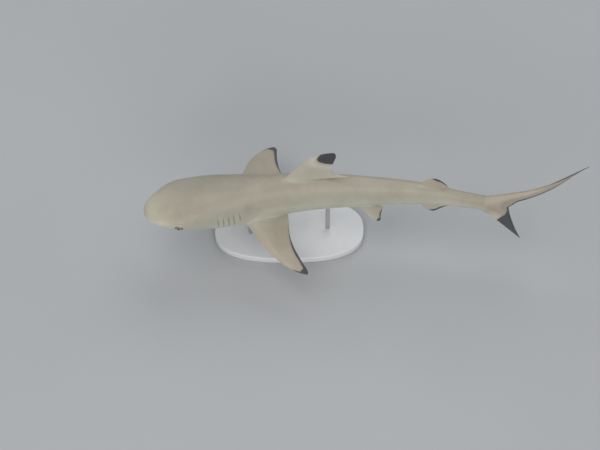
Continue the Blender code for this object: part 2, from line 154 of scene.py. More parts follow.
def round_from_back(p):
    """th of a point near the body's surface."""
    w, top, bot = body_size(p[..., 0])
    zc = bot + (top - bot) * curve(WIDEST, p[..., 0])
    high = np.where(p[..., 2] >= zc, top - zc, zc - bot)
    return np.arctan2(p[..., 1] / w, (p[..., 2] - zc) / high)


_bs = np.linspace(-0.05, 1.10, 1151)
_ba = np.radians(curve(BEND, np.clip(_bs, 0, 1)))
_bd = curve(BLUNT, np.clip((_bs[1:] + _bs[:-1]) / 2, 0, 1)) * np.diff(_bs)
_bx = np.concatenate([[0], np.cumsum(np.cos((_ba[1:] + _ba[:-1]) / 2) * _bd)])
_by = np.concatenate([[0], np.cumsum(np.sin((_ba[1:] + _ba[:-1]) / 2) * _bd)])
_bx -= np.interp(BALANCE, _bs, _bx)
_by -= np.interp(BALANCE, _bs, _by)


def place(p):
    """Straight body coordinates to their place over the base, metres."""
    p = np.asarray(p, float)
    x, y, z = p[..., 0], p[..., 1], p[..., 2]
    a = np.interp(x, _bs, _ba)
    q = np.stack([np.interp(x, _bs, _bx) - y * np.sin(a), np.interp(x, _bs, _by) + y * np.cos(a), z], -1)
    return q * LENGTH + np.array([0.0, 0.0, AXIS_HEIGHT])


# ================================================================ camera, floor and light
def look(target, azimuth, elevation, distance, field, roll):
    a, e, r = (math.radians(v) for v in (azimuth, elevation, roll))
    back = Vector((math.sin(a) * math.cos(e), -math.cos(a) * math.cos(e), math.sin(e)))
    right = (-back).cross(Vector((0, 0, 1))).normalized()
    up = right.cross(-back)
    right, up = right * math.cos(r) + up * math.sin(r), up * math.cos(r) - right * math.sin(r)
    cam = bpy.data.cameras.new("camera")
    cam.sensor_fit = "HORIZONTAL"
    cam.angle = math.radians(field)
    cam.clip_start, cam.clip_end = 0.05, 50.0
    ob = bpy.data.objects.new("camera", cam)
    m = Matrix((right, up, back)).transposed().to_4x4()
    m.translation = Vector(target) + back * distance
    ob.matrix_world = m
    scene.collection.objects.link(ob)
    scene.camera = ob
    return ob


look((0.0144, -0.0205, 0.05), -0.276, 56.704, 2.3003, 19.515, -0.164)


def area(name, at, aim, size, power, colour):
    d = bpy.data.lights.new(name, "AREA")
    d.shape = "RECTANGLE"
    d.size, d.size_y = size
    d.energy = power
    d.color = colour
    o = bpy.data.objects.new(name, d)
    o.location = at
    o.rotation_euler = (Vector(at) - Vector(aim)).to_track_quat("Z", "Y").to_euler()
    scene.collection.objects.link(o)


MIDDLE = (0.0, 0.0, 0.06)
area("key", (-0.8, -0.5, 2.4), MIDDLE, (2.0, 2.0), 23.0, (1.0, 0.985, 0.96))
area("fill", (0.6, 1.8, 1.8), MIDDLE, (2.4, 1.6), 23.0, (0.96, 0.98, 1.0))
area("low", (0.1, -2.2, 0.80), MIDDLE, (2.6, 1.2), 30.0, (1.0, 0.99, 0.97))

world = bpy.data.worlds.new("studio")
scene.world = world
world.use_nodes = True
world.node_tree.nodes["Background"].inputs["Color"].default_value = (0.86, 0.90, 0.95, 1.0)
world.node_tree.nodes["Background"].inputs["Strength"].default_value = 0.48
scene.view_settings.view_transform = "Standard"
scene.view_settings.look = "None"


# ================================================================ materials
class Nodes:
    """Short way to write a node tree."""

    def __init__(self, name):
        self.mat = bpy.data.materials.new(name)
        self.mat.use_nodes = True
        self.tree = self.mat.node_tree
        self.bsdf = self.tree.nodes["Principled BSDF"]
        self.object = self.new("ShaderNodeTexCoord").outputs["Object"]

    def new(self, kind, **settings):
        n = self.tree.nodes.new(kind)
        for k, v in settings.items():
            setattr(n, k, v)
        return n

    def put(self, socket, value):
        if isinstance(value, bpy.types.NodeSocket):
            self.tree.links.new(value, socket)
        else:
            socket.default_value = value

    def math(self, op, a, b=0.0, c=0.0, clamp=False):
        n = self.new("ShaderNodeMath", operation=op, use_clamp=clamp)
        for k, v in enumerate((a, b, c)):
            self.put(n.inputs[k], v)
        return n.outputs[0]

    def attr(self, name):
        return self.new("ShaderNodeAttribute", attribute_name=name).outputs["Fac"]

    def step(self, x, a, b, out0=0.0, out1=1.0):
        n = self.new("ShaderNodeMapRange", interpolation_type="SMOOTHSTEP")
        for k, v in enumerate((x, a, b, out0, out1)):
            self.put(n.inputs[k], v)
        return n.outputs[0]

    def mix(self, fac, a, b, kind="MIX"):
        n = self.new("ShaderNodeMix", data_type="RGBA", blend_type=kind)
        self.put(n.inputs[0], fac)
        for k, v in ((6, a), (7, b)):
            self.put(n.inputs[k], (*v, 1.0) if isinstance(v, tuple) and len(v) == 3 else v)
        return n.outputs[2]

    def scaled(self, colour, by):
        n = self.new("ShaderNodeVectorMath", operation="SCALE")
        self.put(n.inputs[0], colour)
        self.put(n.inputs["Scale"], by)
        return n.outputs[0]

    def at(self, scale=(1, 1, 1), source=None):
        n = self.new("ShaderNodeMapping")
        self.put(n.inputs["Vector"], source or self.object)
        n.inputs["Scale"].default_value = scale
        return n.outputs[0]

    def noise(self, scale, detail=3.0, rough=0.5, where=None, distort=0.0):
        n = self.new("ShaderNodeTexNoise")
        self.put(n.inputs["Vector"], where or self.object)
        n.inputs["Scale"].default_value = scale
        n.inputs["Detail"].default_value = detail
        n.inputs["Roughness"].default_value = rough
        n.inputs["Distortion"].default_value = distort
        return n.outputs["Fac"]

    def cells(self, scale, where=None, feature="F1", out="Distance", random=1.0):
        n = self.new("ShaderNodeTexVoronoi", feature=feature)
        self.put(n.inputs["Vector"], where or self.object)
        n.inputs["Scale"].default_value = scale
        n.inputs["Randomness"].default_value = random
        return n.outputs[out]

    def bump(self, height, distance, strength=1.0, normal=None):
        n = self.new("ShaderNodeBump")
        n.inputs["Strength"].default_value = strength
        n.inputs["Distance"].default_value = distance
        self.put(n.inputs["Height"], height)
        if normal is not None:
            self.put(n.inputs["Normal"], normal)
        return n.outputs[0]


def srgb(r, g, b):
    """Linear colour from the 0-255 values that a screen shows."""
    return tuple((v / 255 / 12.92) if v <= 10.3 else ((v / 255 + 0.055) / 1.055) ** 2.4 for v in (r, g, b))


def floor_material():
    m = Nodes("floor_pale")
    n = m.noise(2.2, 2.0)
    m.put(m.bsdf.inputs["Base Color"], m.mix(m.step(n, 0.3, 0.7), (0.378, 0.385, 0.394), (0.394, 0.401, 0.410)))
    m.bsdf.inputs["Roughness"].default_value = 0.85
    m.bsdf.inputs["Specular IOR Level"].default_value = 0.2
    return m.mat


bm = bmesh.new()
bmesh.ops.create_grid(bm, x_segments=1, y_segments=1, size=6.0)
me = bpy.data.meshes.new("floor")
bm.to_mesh(me)
bm.free()
me.materials.append(floor_material())
floor = bpy.data.objects.new("floor", me)
floor.location.z = -0.0002
scene.collection.objects.link(floor)


def skin_material():
    m = Nodes("shark_skin")
    dorsal, black, groove = m.attr("dorsal"), m.attr("black"), m.attr("groove")
    fin, rim, ray, line, canal, snout, pale, flank, glow = (
        m.attr(k) for k in ("fin", "rim", "ray", "line", "canal", "snout", "pale", "flank", "glow"))

    # back and flank: olive tan, softly clouded, with a finer pepper over it
    cloud = m.noise(22.0, 4.0, 0.55)
    mottle = m.noise(120.0, 3.0, 0.6)
    pepper = m.noise(900.0, 2.0, 0.6)
    back = m.mix(m.step(cloud, 0.30, 0.72), BACK_DARK, BACK_LIGHT)
    back = m.mix(m.step(mottle, 0.35, 0.75, 0.0, 0.35), back, BACK_WARM)
    back = m.mix(m.step(pepper, 0.45, 0.80, 0.0, 0.30), back, BACK_PEPPER)
    belly = m.mix(m.step(cloud, 0.3, 0.7), (0.640, 0.632, 0.590), (0.700, 0.694, 0.655))
    # border of the pale underside, a little ragged
    edge = m.math("ADD", dorsal, m.math("MULTIPLY", m.math("SUBTRACT", mottle, 0.5), 0.30))
    edge = m.math("ADD", edge, m.math("MULTIPLY", m.math("SUBTRACT", cloud, 0.5), 0.35))
    # the lower flank is lightened: partly the species' paler flank, partly painted light that evens out the shade low
    # on the sides
    back = m.mix(m.math("MULTIPLY", flank, 0.76), back, m.mix(1.0, back, FLANK_LIFT, "MULTIPLY"))
    back = m.scaled(back, m.math("ADD", 1.0, glow))          # painted light: a painted highlight pales the snout and painted shade darkens the nape; on the tail it also draws the brown line along the upper lobe
    skin = m.mix(m.step(edge, 0.18, 0.92), belly, back)
    # fins: a shade greyer and warmer, thinner and paler towards their hind edges, with faint rays
    rays = m.new("ShaderNodeCombineXYZ")
    m.put(rays.inputs[0], m.math("MULTIPLY", ray, 1.0))
    m.put(rays.inputs[1], m.math("MULTIPLY", rim, 0.020))
    streak = m.noise(1.0, 3.0, 0.6, where=rays.outputs[0])
    fin_tone = m.mix(1.0, skin, FIN_WARM, "MULTIPLY")
    fin_tone = m.mix(m.step(streak, 0.35, 0.65, 0.0, 0.45), fin_tone, m.mix(1.0, skin, FIN_STREAK, "MULTIPLY"))
    skin = m.mix(fin, skin, fin_tone)
    thin = m.math("MULTIPLY", m.step(rim, 9.0, 0.0), fin)
    skin = m.mix(m.math("MULTIPLY", thin, 0.28), skin, FIN_THIN)
    skin = m.mix(m.math("MULTIPLY", pale, 0.48), skin, PALE_BAND)
    # black tips and margins with a crisp but living edge
    ragged = m.math("MULTIPLY", m.math("SUBTRACT", m.noise(420.0, 3.0, 0.6), 0.5), 1.1)
    ragged = m.math("ADD", ragged, m.math("MULTIPLY", m.math("SUBTRACT", streak, 0.5), 0.7))
    zone = m.step(m.math("ADD", black, ragged), -0.75, 0.55)
    ink = m.mix(m.step(mottle, 0.3, 0.75), BLACK_DEEP, BLACK_SOFT)
    ink = m.scaled(ink, m.math("ADD", 0.72, m.math("MULTIPLY", fin, 0.62)))     # softest on the thin paired fins and tail
    dusk = m.step(m.math("ADD", black, ragged), -4.5, 0.4, 0.0, 0.22)
    skin = m.mix(dusk, skin, BLACK_SOFT)
    skin = m.mix(zone, skin, ink)
    # lateral line, pores of the snout, and painted shade in the clefts of the mouth, gills, lids, eye sockets and
    # nostrils
    hair = m.math("MULTIPLY", m.step(m.math("ABSOLUTE", line), 0.90, 0.10, 0.0, 0.11), canal)
    skin = m.mix(hair, skin, (0.150, 0.140, 0.110))
    pores = m.math("MULTIPLY", m.step(m.cells(560.0), 0.17, 0.10), snout)
    skin = m.mix(m.math("MULTIPLY", pores, 0.50), skin, (0.110, 0.095, 0.080))
    skin = m.mix(m.math("MULTIPLY", m.math("MINIMUM", groove, 1.0), 0.74), skin, (0.088, 0.066, 0.055))
    m.put(m.bsdf.inputs["Base Color"], skin)

    rough = m.math("ADD", 0.40, m.math("MULTIPLY", mottle, 0.14))
    rough = m.math("ADD", rough, m.math("MULTIPLY", zone, 0.05))
    m.put(m.bsdf.inputs["Roughness"], rough)
    m.bsdf.inputs["Specular IOR Level"].default_value = 0.42
    m.bsdf.inputs["Subsurface Weight"].default_value = 0.06
    m.bsdf.inputs["Subsurface Radius"].default_value = (1.0, 0.62, 0.42)
    m.bsdf.inputs["Subsurface Scale"].default_value = 0.0025

    # skin teeth, fin rays, the lateral canal
    teeth = m.cells(2300.0, where=m.at((0.62, 1.0, 1.0)))
    n = m.bump(teeth, 0.00006, 0.55)
    n = m.bump(m.noise(420.0, 3.0, 0.6), 0.00010, 0.45, n)
    ridges = m.math("MULTIPLY", m.math("MULTIPLY", streak, fin), m.step(rim, 16.0, 3.0))
    n = m.bump(ridges, 0.00045, 0.8, n)
    n = m.bump(m.math("MULTIPLY", hair, -1.4), 0.00030, 0.8, n)
    n = m.bump(m.math("MULTIPLY", pores, -1.0), 0.00025, 0.8, n)
    m.put(m.bsdf.inputs["Normal"], n)
    return m.mat


BACK_DARK, BACK_LIGHT = (0.279, 0.256, 0.200), (0.340, 0.314, 0.251)
BACK_WARM, BACK_PEPPER = (0.372, 0.330, 0.240), (0.240, 0.222, 0.175)
# lightens the lower flank: partly the species' pale flank, partly painted light against the shade low on the sides
FLANK_LIFT = (1.34, 1.46, 1.54)
FIN_WARM, FIN_STREAK = (0.985, 0.905, 0.880), (0.890, 0.800, 0.770)
FIN_THIN = (0.440, 0.365, 0.300)
PALE_BAND = (0.520, 0.505, 0.440)
BLACK_DEEP, BLACK_SOFT = (0.0405, 0.0405, 0.0445), (0.0560, 0.0555, 0.0600)

# ================================================================ the skin as one mesh
COLUMNS = 144
HALF = COLUMNS // 2
ATTRS = ("dorsal", "flank", "glow", "black", "groove", "fin", "rim", "ray", "line", "canal", "snout", "pale")
FAR = -25.0


class Mesh:
    """Gathers vertices with their named values, and faces with their places on the map."""

    def __init__(self):
        self.co, self.val, self.n = [], {k: [] for k in ATTRS}, 0
        self.quads, self.quad_uv, self.tris, self.tri_uv = [], [], [], []

    def add(self, p, **values):
        p = np.asarray(p, float)
        shape = p.shape[:-1]
        count = int(np.prod(shape)) if shape else 1
        self.co.append(p.reshape(-1, 3))
        for k in ATTRS:
            v = values.get(k, FAR if k == "black" else 99.0 if k in ("rim", "line") else 0.0)
            self.val[k].append(np.broadcast_to(np.asarray(v, float), shape).reshape(-1) if shape else np.array([float(v)]))
        ids = np.arange(self.n, self.n + count).reshape(shape)
        self.n += count
        return ids

    def quad(self, a, b, c, d, uv):
        """Faces from equal arrays of corners; uv holds four corner places for each."""
        self.quads.append(np.stack([np.ravel(v) for v in (a, b, c, d)], -1))
        self.quad_uv.append(np.asarray(uv, float).reshape(-1, 4, 2))

    def tri(self, a, b, c, uv):
        self.tris.append(np.stack([np.ravel(v) for v in (a, b, c)], -1))
        self.tri_uv.append(np.asarray(uv, float).reshape(-1, 3, 2))

    def bands(self, rings, box):
        """Faces between closed rings of equal count, laid on the map as a plain block."""
        x0, y0, x1, y1 = box
        k, n = rings.shape
        u = x0 + (x1 - x0) * np.arange(n + 1) / n
        v = y0 + (y1 - y0) * np.arange(k) / (k - 1)
        nxt = np.roll(rings, -1, axis=1)
        uu, vv = np.meshgrid(np.arange(n), np.arange(k - 1))
        uv = np.stack([np.stack([u[uu], v[vv]], -1), np.stack([u[uu + 1], v[vv]], -1),
                       np.stack([u[uu + 1], v[vv + 1]], -1), np.stack([u[uu], v[vv + 1]], -1)], -2)
        self.quad(rings[:-1], nxt[:-1], nxt[1:], rings[1:], uv)

    def cap(self, ring, point_id, box):
        """Closes a ring to one point, laid on the map as a disc."""
        x0, y0, x1, y1 = box
        n = len(ring)
        a = 2 * math.pi * np.arange(n + 1) / n
        mid, rad = np.array([(x0 + x1) / 2, (y0 + y1) / 2]), min(x1 - x0, y1 - y0) / 2
        edge = mid + rad * np.stack([np.cos(a), np.sin(a)], -1)
        uv = np.stack([edge[:-1], edge[1:], np.broadcast_to(mid, (n, 2))], 1)
        self.tri(ring, np.roll(ring, -1), np.full(n, point_id), uv)


skin = Mesh()

# ---------------------------------------------------------------- rows and columns of the body
MOUTH_ROW, MOUTH_MID, MOUTH_BACK, MOUTH_TURN = 0.076, 0.059, 0.042, 41.0
SLITS = ((0.1630, 73, 115), (0.1752, 72, 116), (0.1872, 71, 114), (0.1985, 69, 104), (0.2120, 67, 86))


def columns():
    deg = np.linspace(0, 180, 3601)
    weight = 1 + 0.45 * bell((deg - 112) / 34)
    run = np.concatenate([[0], np.cumsum((weight[1:] + weight[:-1]) / 2)])
    half = np.interp(np.linspace(0, run[-1], HALF + 1), run, deg)
    return np.radians(np.concatenate([half, 360 - half[-2:0:-1]]))


def rows():
    """Row places: evenly spaced along the surface, with close rows where a fold crosses."""
    s = np.linspace(0, 1, 40001) ** 2 * TAIL_END
    w = body_size(s)[0]
    run = np.concatenate([[0], np.cumsum(np.hypot(np.diff(s), np.diff(w)))]) * LENGTH * 1000
    want = curve(((0.0, 0.85), (0.03, 1.10), (0.24, 1.24), (0.32, 2.10), (0.60, 2.55), (0.70, 1.9), (0.74, 1.35)), s)
    count = np.concatenate([[0], np.cumsum(np.diff(run) / want[1:])])
    n = int(round(count[-1]))
    even = np.interp(np.linspace(0, count[-1], n + 1), count, s)[1:]
    special, spans = [], []
    for at, offs in [(MOUTH_ROW, (-2.6, -1.7, -1.1, -0.65, -0.35, -0.15, 0.0, 0.15, 0.35, 0.65, 1.1, 1.7, 2.6))] + [
            (g[0], (-2.2, -1.4, -0.8, -0.4, -0.15, 0.0, 0.15, 0.35, 0.65, 1.1, 1.8)) for g in SLITS]:
        special += [at + o * MM for o in offs]
        spans.append((at + offs[0] * MM, at + offs[-1] * MM))
    keep = [v for v in even if all(not (a - 0.75 * MM < v < b + 0.75 * MM) for a, b in spans)]
    out = np.array(sorted(keep + special))
    out = out[np.concatenate([[True], np.diff(out) > 0.08 * MM])]
    out[-1] = TAIL_END
    return out


TH, ROWS = columns(), rows()
NR = len(ROWS)


def fold_rows(row, th):
    """Carries rows along the mouth's curve and the gill slits' curve."""
    deg = np.degrees(np.abs((th + math.pi) % (2 * math.pi) - math.pi))
    psi = 180 - deg
    k = np.sin(np.radians(np.minimum(psi, MOUTH_TURN))) / math.sin(math.radians(MOUTH_TURN))
    sweep = MOUTH_MID + MOUTH_BACK * k ** 2.2 - MOUTH_ROW
    past = np.maximum(psi - MOUTH_TURN, 0)
    sweep = np.where(psi > MOUTH_TURN, (sweep + 0.0011 * past * np.exp(-past / 3)) * (1 - ease(45, 78, psi)), sweep)
    hold = ease(0.012, MOUTH_ROW, row) * (1 - ease(MOUTH_ROW, 0.160, row))
    gill = -0.0042 * (1 - bell((deg - 88) / 30)) * ease(0.135, 0.163, row) * (1 - ease(0.214, 0.245, row))
    return row + sweep * hold + gill


def eye_frame(side):
    """Same frame as the solids' eyes: point, back along the skin, up along it, outward."""
    th = side * math.radians(EYE_AT[1])
    e = 1e-3
    p = place(surf(EYE_AT[0], th))
    along = place(surf(EYE_AT[0] + e, th)) - place(surf(EYE_AT[0] - e, th))
    around = place(surf(EYE_AT[0], th + e)) - place(surf(EYE_AT[0], th - e))
    along /= np.linalg.norm(along)
    n = np.cross(along, around)
    n /= np.linalg.norm(n)
    if n[1] * side < 0:
        n = -n
    up = np.cross(n, along)
    if up[2] < 0:
        up = -up
    return p, along, up, n


NOSE_AT = (0.0345, 137.0)


def nose_frame(side):
    th = side * math.radians(NOSE_AT[1])
    e = 1e-3
    p = place(surf(NOSE_AT[0], th))
    along = place(surf(NOSE_AT[0] + e, th)) - place(surf(NOSE_AT[0] - e, th))
    along /= np.linalg.norm(along)
    around = place(surf(NOSE_AT[0], th + e)) - place(surf(NOSE_AT[0], th - e))
    n = np.cross(along, around)
    n /= np.linalg.norm(n)
    if n[2] > 0:
        n = -n
    out = np.cross(n, along)
    if out[1] * side < 0:
        out = -out
    # the slit runs from the front outside to the back inside
    c, s = math.cos(math.radians(38)), math.sin(math.radians(38))
    long_way = along * s - out * c
    return p, long_way, np.cross(n, long_way) if np.dot(np.cross(n, long_way), along) > 0 else -np.cross(n, long_way), n


FRAMES = {("eye", s): eye_frame(s) for s in (-1, 1)} | {("nose", s): nose_frame(s) for s in (-1, 1)}
LID = (6.15, 5.05)               # half sizes of the eye's opening, mm
NOSTRIL = (4.2, 1.0)


def ring_gap(x, y, size):
    """About how far, mm, a point lies outside an ellipse."""
    r = np.hypot(x / size[0], y / size[1])
    return (r - 1) * np.hypot(x, y) / np.maximum(r, 1e-6)


def relief(s, th, row):
    """Height of the fine forms over the bare body, mm."""
    deg = np.degrees(np.abs((th + math.pi) % (2 * math.pi) - math.pi))
    psi = 180 - deg
    q = (row - MOUTH_ROW) / MM
    jaw = 1 - ease(MOUTH_TURN - 4.5, MOUTH_TURN + 1.0, psi)
    out = jaw * (-1.25 * np.exp(-(np.abs(q) / 0.33) ** 1.6)
                 + 0.42 * bell((q + 1.9) / 1.5) - 0.30 * bell((q + 7.5) / 3.0)
                 + np.where(q > 0, -0.75 * np.exp(-q / 7.0) * (1 - np.exp(-q / 0.5)), 0)
                 + 0.55 * bell((q - 2.0) / 1.3))
    # furrow past the jaw's corner
    out = out - 0.55 * bell((psi - MOUTH_TURN - 0.5) / 2.2) * bell((q + 0.6) / 1.5)
    for k, (at, top, low) in enumerate(SLITS):
        g = (row - at) / MM
        a = ease(top - 5, top + 6, deg) * (1 - ease(low - 6, low + 5, deg))
        flap = np.where(g < 0, 0.50 * np.exp(g / 3.2), 0)
        slit = -1.05 * np.exp(-(np.abs(g - 0.22) / 0.34) ** 2.0)
        hollow = np.where(g > 0, -0.38 * np.exp(-g / 2.6) * (1 - np.exp(-g / 0.4)), 0)
        out = out + a * (flap + slit + hollow)
    # pits over and under the tail's root
    out = out - 1.15 * bell((s - 0.7315) / MM / 2.0) * bell(deg / 22)
    out = out - 0.55 * bell((s - 0.7330) / MM / 1.8) * bell(psi / 24)
    # the vent between the pelvic fins
    out = out - 0.9 * bell(psi / 3.2) * ease(0.500, 0.505, s) * (1 - ease(0.516, 0.522, s))
    for side in (-1, 1):
        p, along, up, n = FRAMES["eye", side]
        d = (place(surf(s, th)) - p) * 1000
        near = np.abs(d @ n) < 14
        e = ring_gap(d @ along, d @ up, LID)
        high = ease(-6, 6, d @ up)
        rise = (0.42 * bell((e - 0.75) / 0.8) - (0.20 + 0.16 * high) * bell((e - 2.5) / 0.75)
                + (0.10 + 0.30 * high) * bell((e - 5.2) / 2.4))
        out = out + np.where(near, rise * (e > -3), 0)
        p, along, up, n = FRAMES["nose", side]
        d = (place(surf(s, th)) - p) * 1000
        e = ring_gap(d @ along, d @ up, NOSTRIL)
        out = out + np.where(np.abs(d @ n) < 8, 0.30 * bell((e - 0.5) / 0.8) - 0.12 * bell((e - 2.6) / 1.0), 0)
    return out


def painted_fold_shade(s, th, row):
    """Painted shade: 1 in the bottom of the mouth's and the gills' clefts."""
    deg = np.degrees(np.abs((th + math.pi) % (2 * math.pi) - math.pi))
    psi = 180 - deg
    q = (row - MOUTH_ROW) / MM
    out = (1 - ease(MOUTH_TURN - 4.5, MOUTH_TURN + 1.0, psi)) * np.exp(-(np.abs(q) / 0.34) ** 2)
    for at, top, low in SLITS:
        g = (row - at) / MM
        a = ease(top - 3, top + 5, deg) * (1 - ease(low - 5, low + 3, deg))
        out = np.maximum(out, 0.66 * a * np.exp(-(np.abs(g - 0.25) / 0.36) ** 2))
    return out


def countershade(s, th):
    """0 under the belly to 1 on the back."""
    deg = np.degrees(np.abs((th + math.pi) % (2 * math.pi) - math.pi))
    border = curve(((0.0, 165), (0.008, 138), (0.022, 124), (0.06, 120), (0.12, 116), (0.22, 114), (0.35, 120), (0.50, 123), (0.62, 128), (0.74, 150)), s)
    round_it = 0.5 + np.clip((border - deg) / curve(((0.0, 26), (0.2, 24), (0.74, 34)), s), -0.5, 0.5)
    high = 0.5 + np.clip((surf(s, th)[..., 2] + 0.0205 + 0.003 * ease(0, 0.03, s)) / 0.009, -0.5, 0.5)
    k = ease(0.018, 0.058, s)
    return k * round_it + (1 - k) * high


def lateral_line(s, th):
    """Signed distance from the lateral line, mm."""
    at = np.radians(curve(((0.10, 58), (0.20, 62), (0.30, 70), (0.45, 80), (0.60, 86), (0.74, 90)), s))
    thp = np.abs((th + math.pi) % (2 * math.pi) - math.pi)
    half = (body_size(s)[1] - body_size(s)[2]) / 2
    return (thp - at) * half / MM


def snout_pores(s, th):
    deg = np.degrees(np.abs((th + math.pi) % (2 * math.pi) - math.pi))
    under = ease(95, 150, deg) * (1 - ease(0.050, 0.062, s)) * ease(0.004, 0.012, s)
    above = 0.55 * (1 - ease(0.030, 0.060, s)) * ease(0.006, 0.016, s) * (1 - ease(40, 70, deg))
    return np.clip(under + above, 0, 1)


def skin_values(s, th, row):
    deg = np.degrees(np.abs((th + math.pi) % (2 * math.pi) - math.pi))
    return dict(dorsal=countershade(s, th), groove=painted_fold_shade(s, th, row), line=lateral_line(s, th),
                canal=ease(0.150, 0.215, s) * (1 - ease(0.69, 0.73, s)), snout=snout_pores(s, th),
                flank=ease(48, 98, deg),
                # painted highlight over the snout, painted shade over the nape
                glow=0.34 * (1 - ease(0.012, 0.085, s)) - 0.10 * bell((s - 0.185) / 0.055) * (1 - ease(70, 105, deg)))


def skin_point(s, th, row=None, lift=None):
    """Placed point of the skin, fine forms included."""
    row = s if row is None else row
    rise = relief(s, th, row) if lift is None else lift
    return place(surf(s, th) + surf_normal(s, th) * (rise * MM)[..., None])


RR, TT = np.meshgrid(ROWS, TH, indexing="ij")
SS = fold_rows(RR, TT)
GRID = skin_point(SS, TT, RR)
grid_ids = skin.add(GRID, **skin_values(SS, TT, RR))
hole = np.zeros((NR - 1, COLUMNS), bool)
RUN = np.concatenate([[0], np.cumsum(np.linalg.norm(np.diff(GRID[:, HALF // 2], axis=0), axis=1))])


def block(i0, i1, j0, j1):
    """Takes a block of faces out of the body and gives its edge: across the front, down the high side,
    back across the rear, up the low side."""
    for j in range(j0, j1):
        hole[i0:i1, j % COLUMNS] = True
    ij = ([(i0, j) for j in range(j0, j1)] + [(i, j1) for i in range(i0, i1)]
          + [(i1, j) for j in range(j1, j0, -1)] + [(i, j0) for i in range(i1, i0, -1)])
    i = np.array([a for a, _ in ij])
    j = np.array([b for _, b in ij]) % COLUMNS
    return i, j


# ---------------------------------------------------------------- lids, sockets and nostrils
def to_skin(frame3, x, y, side, start):
    """s and th of the bare body under the tangent-plane point (x, y), mm."""
    p, along, up, n = frame3
    s = np.full(x.shape, start[0])
    th = np.full(x.shape, side * math.radians(start[1]))

    def flat(s, th):
        d = (place(surf(s, th)) - p) * 1000
        return d @ along, d @ up
    for _ in range(7):
        fx, fy = flat(s, th)
        ax, ay = flat(s + 1e-4, th)
        bx, by = flat(s, th + 1e-3)
        ax, ay, bx, by = (ax - fx) / 1e-4, (ay - fy) / 1e-4, (bx - fx) / 1e-3, (by - fy) / 1e-3
        det = ax * by - ay * bx
        ex, ey = x - fx, y - fy
        s = s + np.clip((ex * by - ey * bx) / det, -0.02, 0.02)
        th = th + np.clip((ax * ey - ay * ex) / det, -0.4, 0.4)
    return s, th


def find_block(frame3, side, start, reach):
    """Rows and columns of the body that cover the tangent-plane box |x|, |y| < reach, mm."""
    p, along, up, n = frame3
    d = (GRID - p) * 1000
    x, y = d @ along, d @ up
    near = (np.abs(d @ n) < 16) & (np.hypot(x / reach[0], y / reach[1]) < 1.0)
    ii, jj = np.nonzero(near)
    return ii.min() - 1, ii.max() + 1, jj.min() - 1, jj.max() + 1


EYE_ROW = {}


def ellipse_patch(kind, side, start, size, reach, gaps, map_box):
    """Rings on the skin from a block's edge down to an ellipse; gives the ring ids and the last ring's facts."""
    f = FRAMES[kind, side]
    p, along, up, n = f
    i0, i1, j0, j1 = find_block(f, side, start, reach)
    if kind == "eye":
        EYE_ROW[side] = i0
    elif side in EYE_ROW:
        i1 = min(i1, EYE_ROW[side])      # the nostril's block ends where the eye's begins
    i, j = block(i0, i1, j0, j1)
    # tangent places of the bare points under the edge
    bare = (place(surf(SS[i, j], TT[i, j])) - p) * 1000
    bx, by = bare @ along, bare @ up
    far = gaps[0]
    phi = np.arctan2(by / (size[1] + far), bx / (size[0] + far))
    rings = [grid_ids[i, j]]
    for g in gaps[1:]:
        k = ease(0, 1, (g / far)) ** 1.0
        ex, ey = (size[0] + g) * np.cos(phi), (size[1] + g) * np.sin(phi)
        x, y = k * bx + (1 - k) * ex, k * by + (1 - k) * ey
        s, th = to_skin(f, x, y, side, start)
        values = skin_values(s, th, s)
        P = skin_point(s, th)
        rings.append(skin.add(P, **values))
    return rings, f, phi, P, s, th, values


EYE_RINGS = (6.9, 6.3, 5.7, 5.1, 4.5, 3.9, 3.4, 2.95, 2.5, 2.1, 1.7, 1.3, 0.95, 0.6, 0.28, 0.0)


def eyeball_height(x, y):
    """Height of the eyeball's front over the tangent plane, mm."""
    return (-0.72 * EYE_DEEP + EYE_DEEP * np.sqrt(np.clip(
        1 - (x / EYE_LONG / 1000) ** 2 - (y / EYE_HIGH / 1000) ** 2, 0, 1))) * 1000


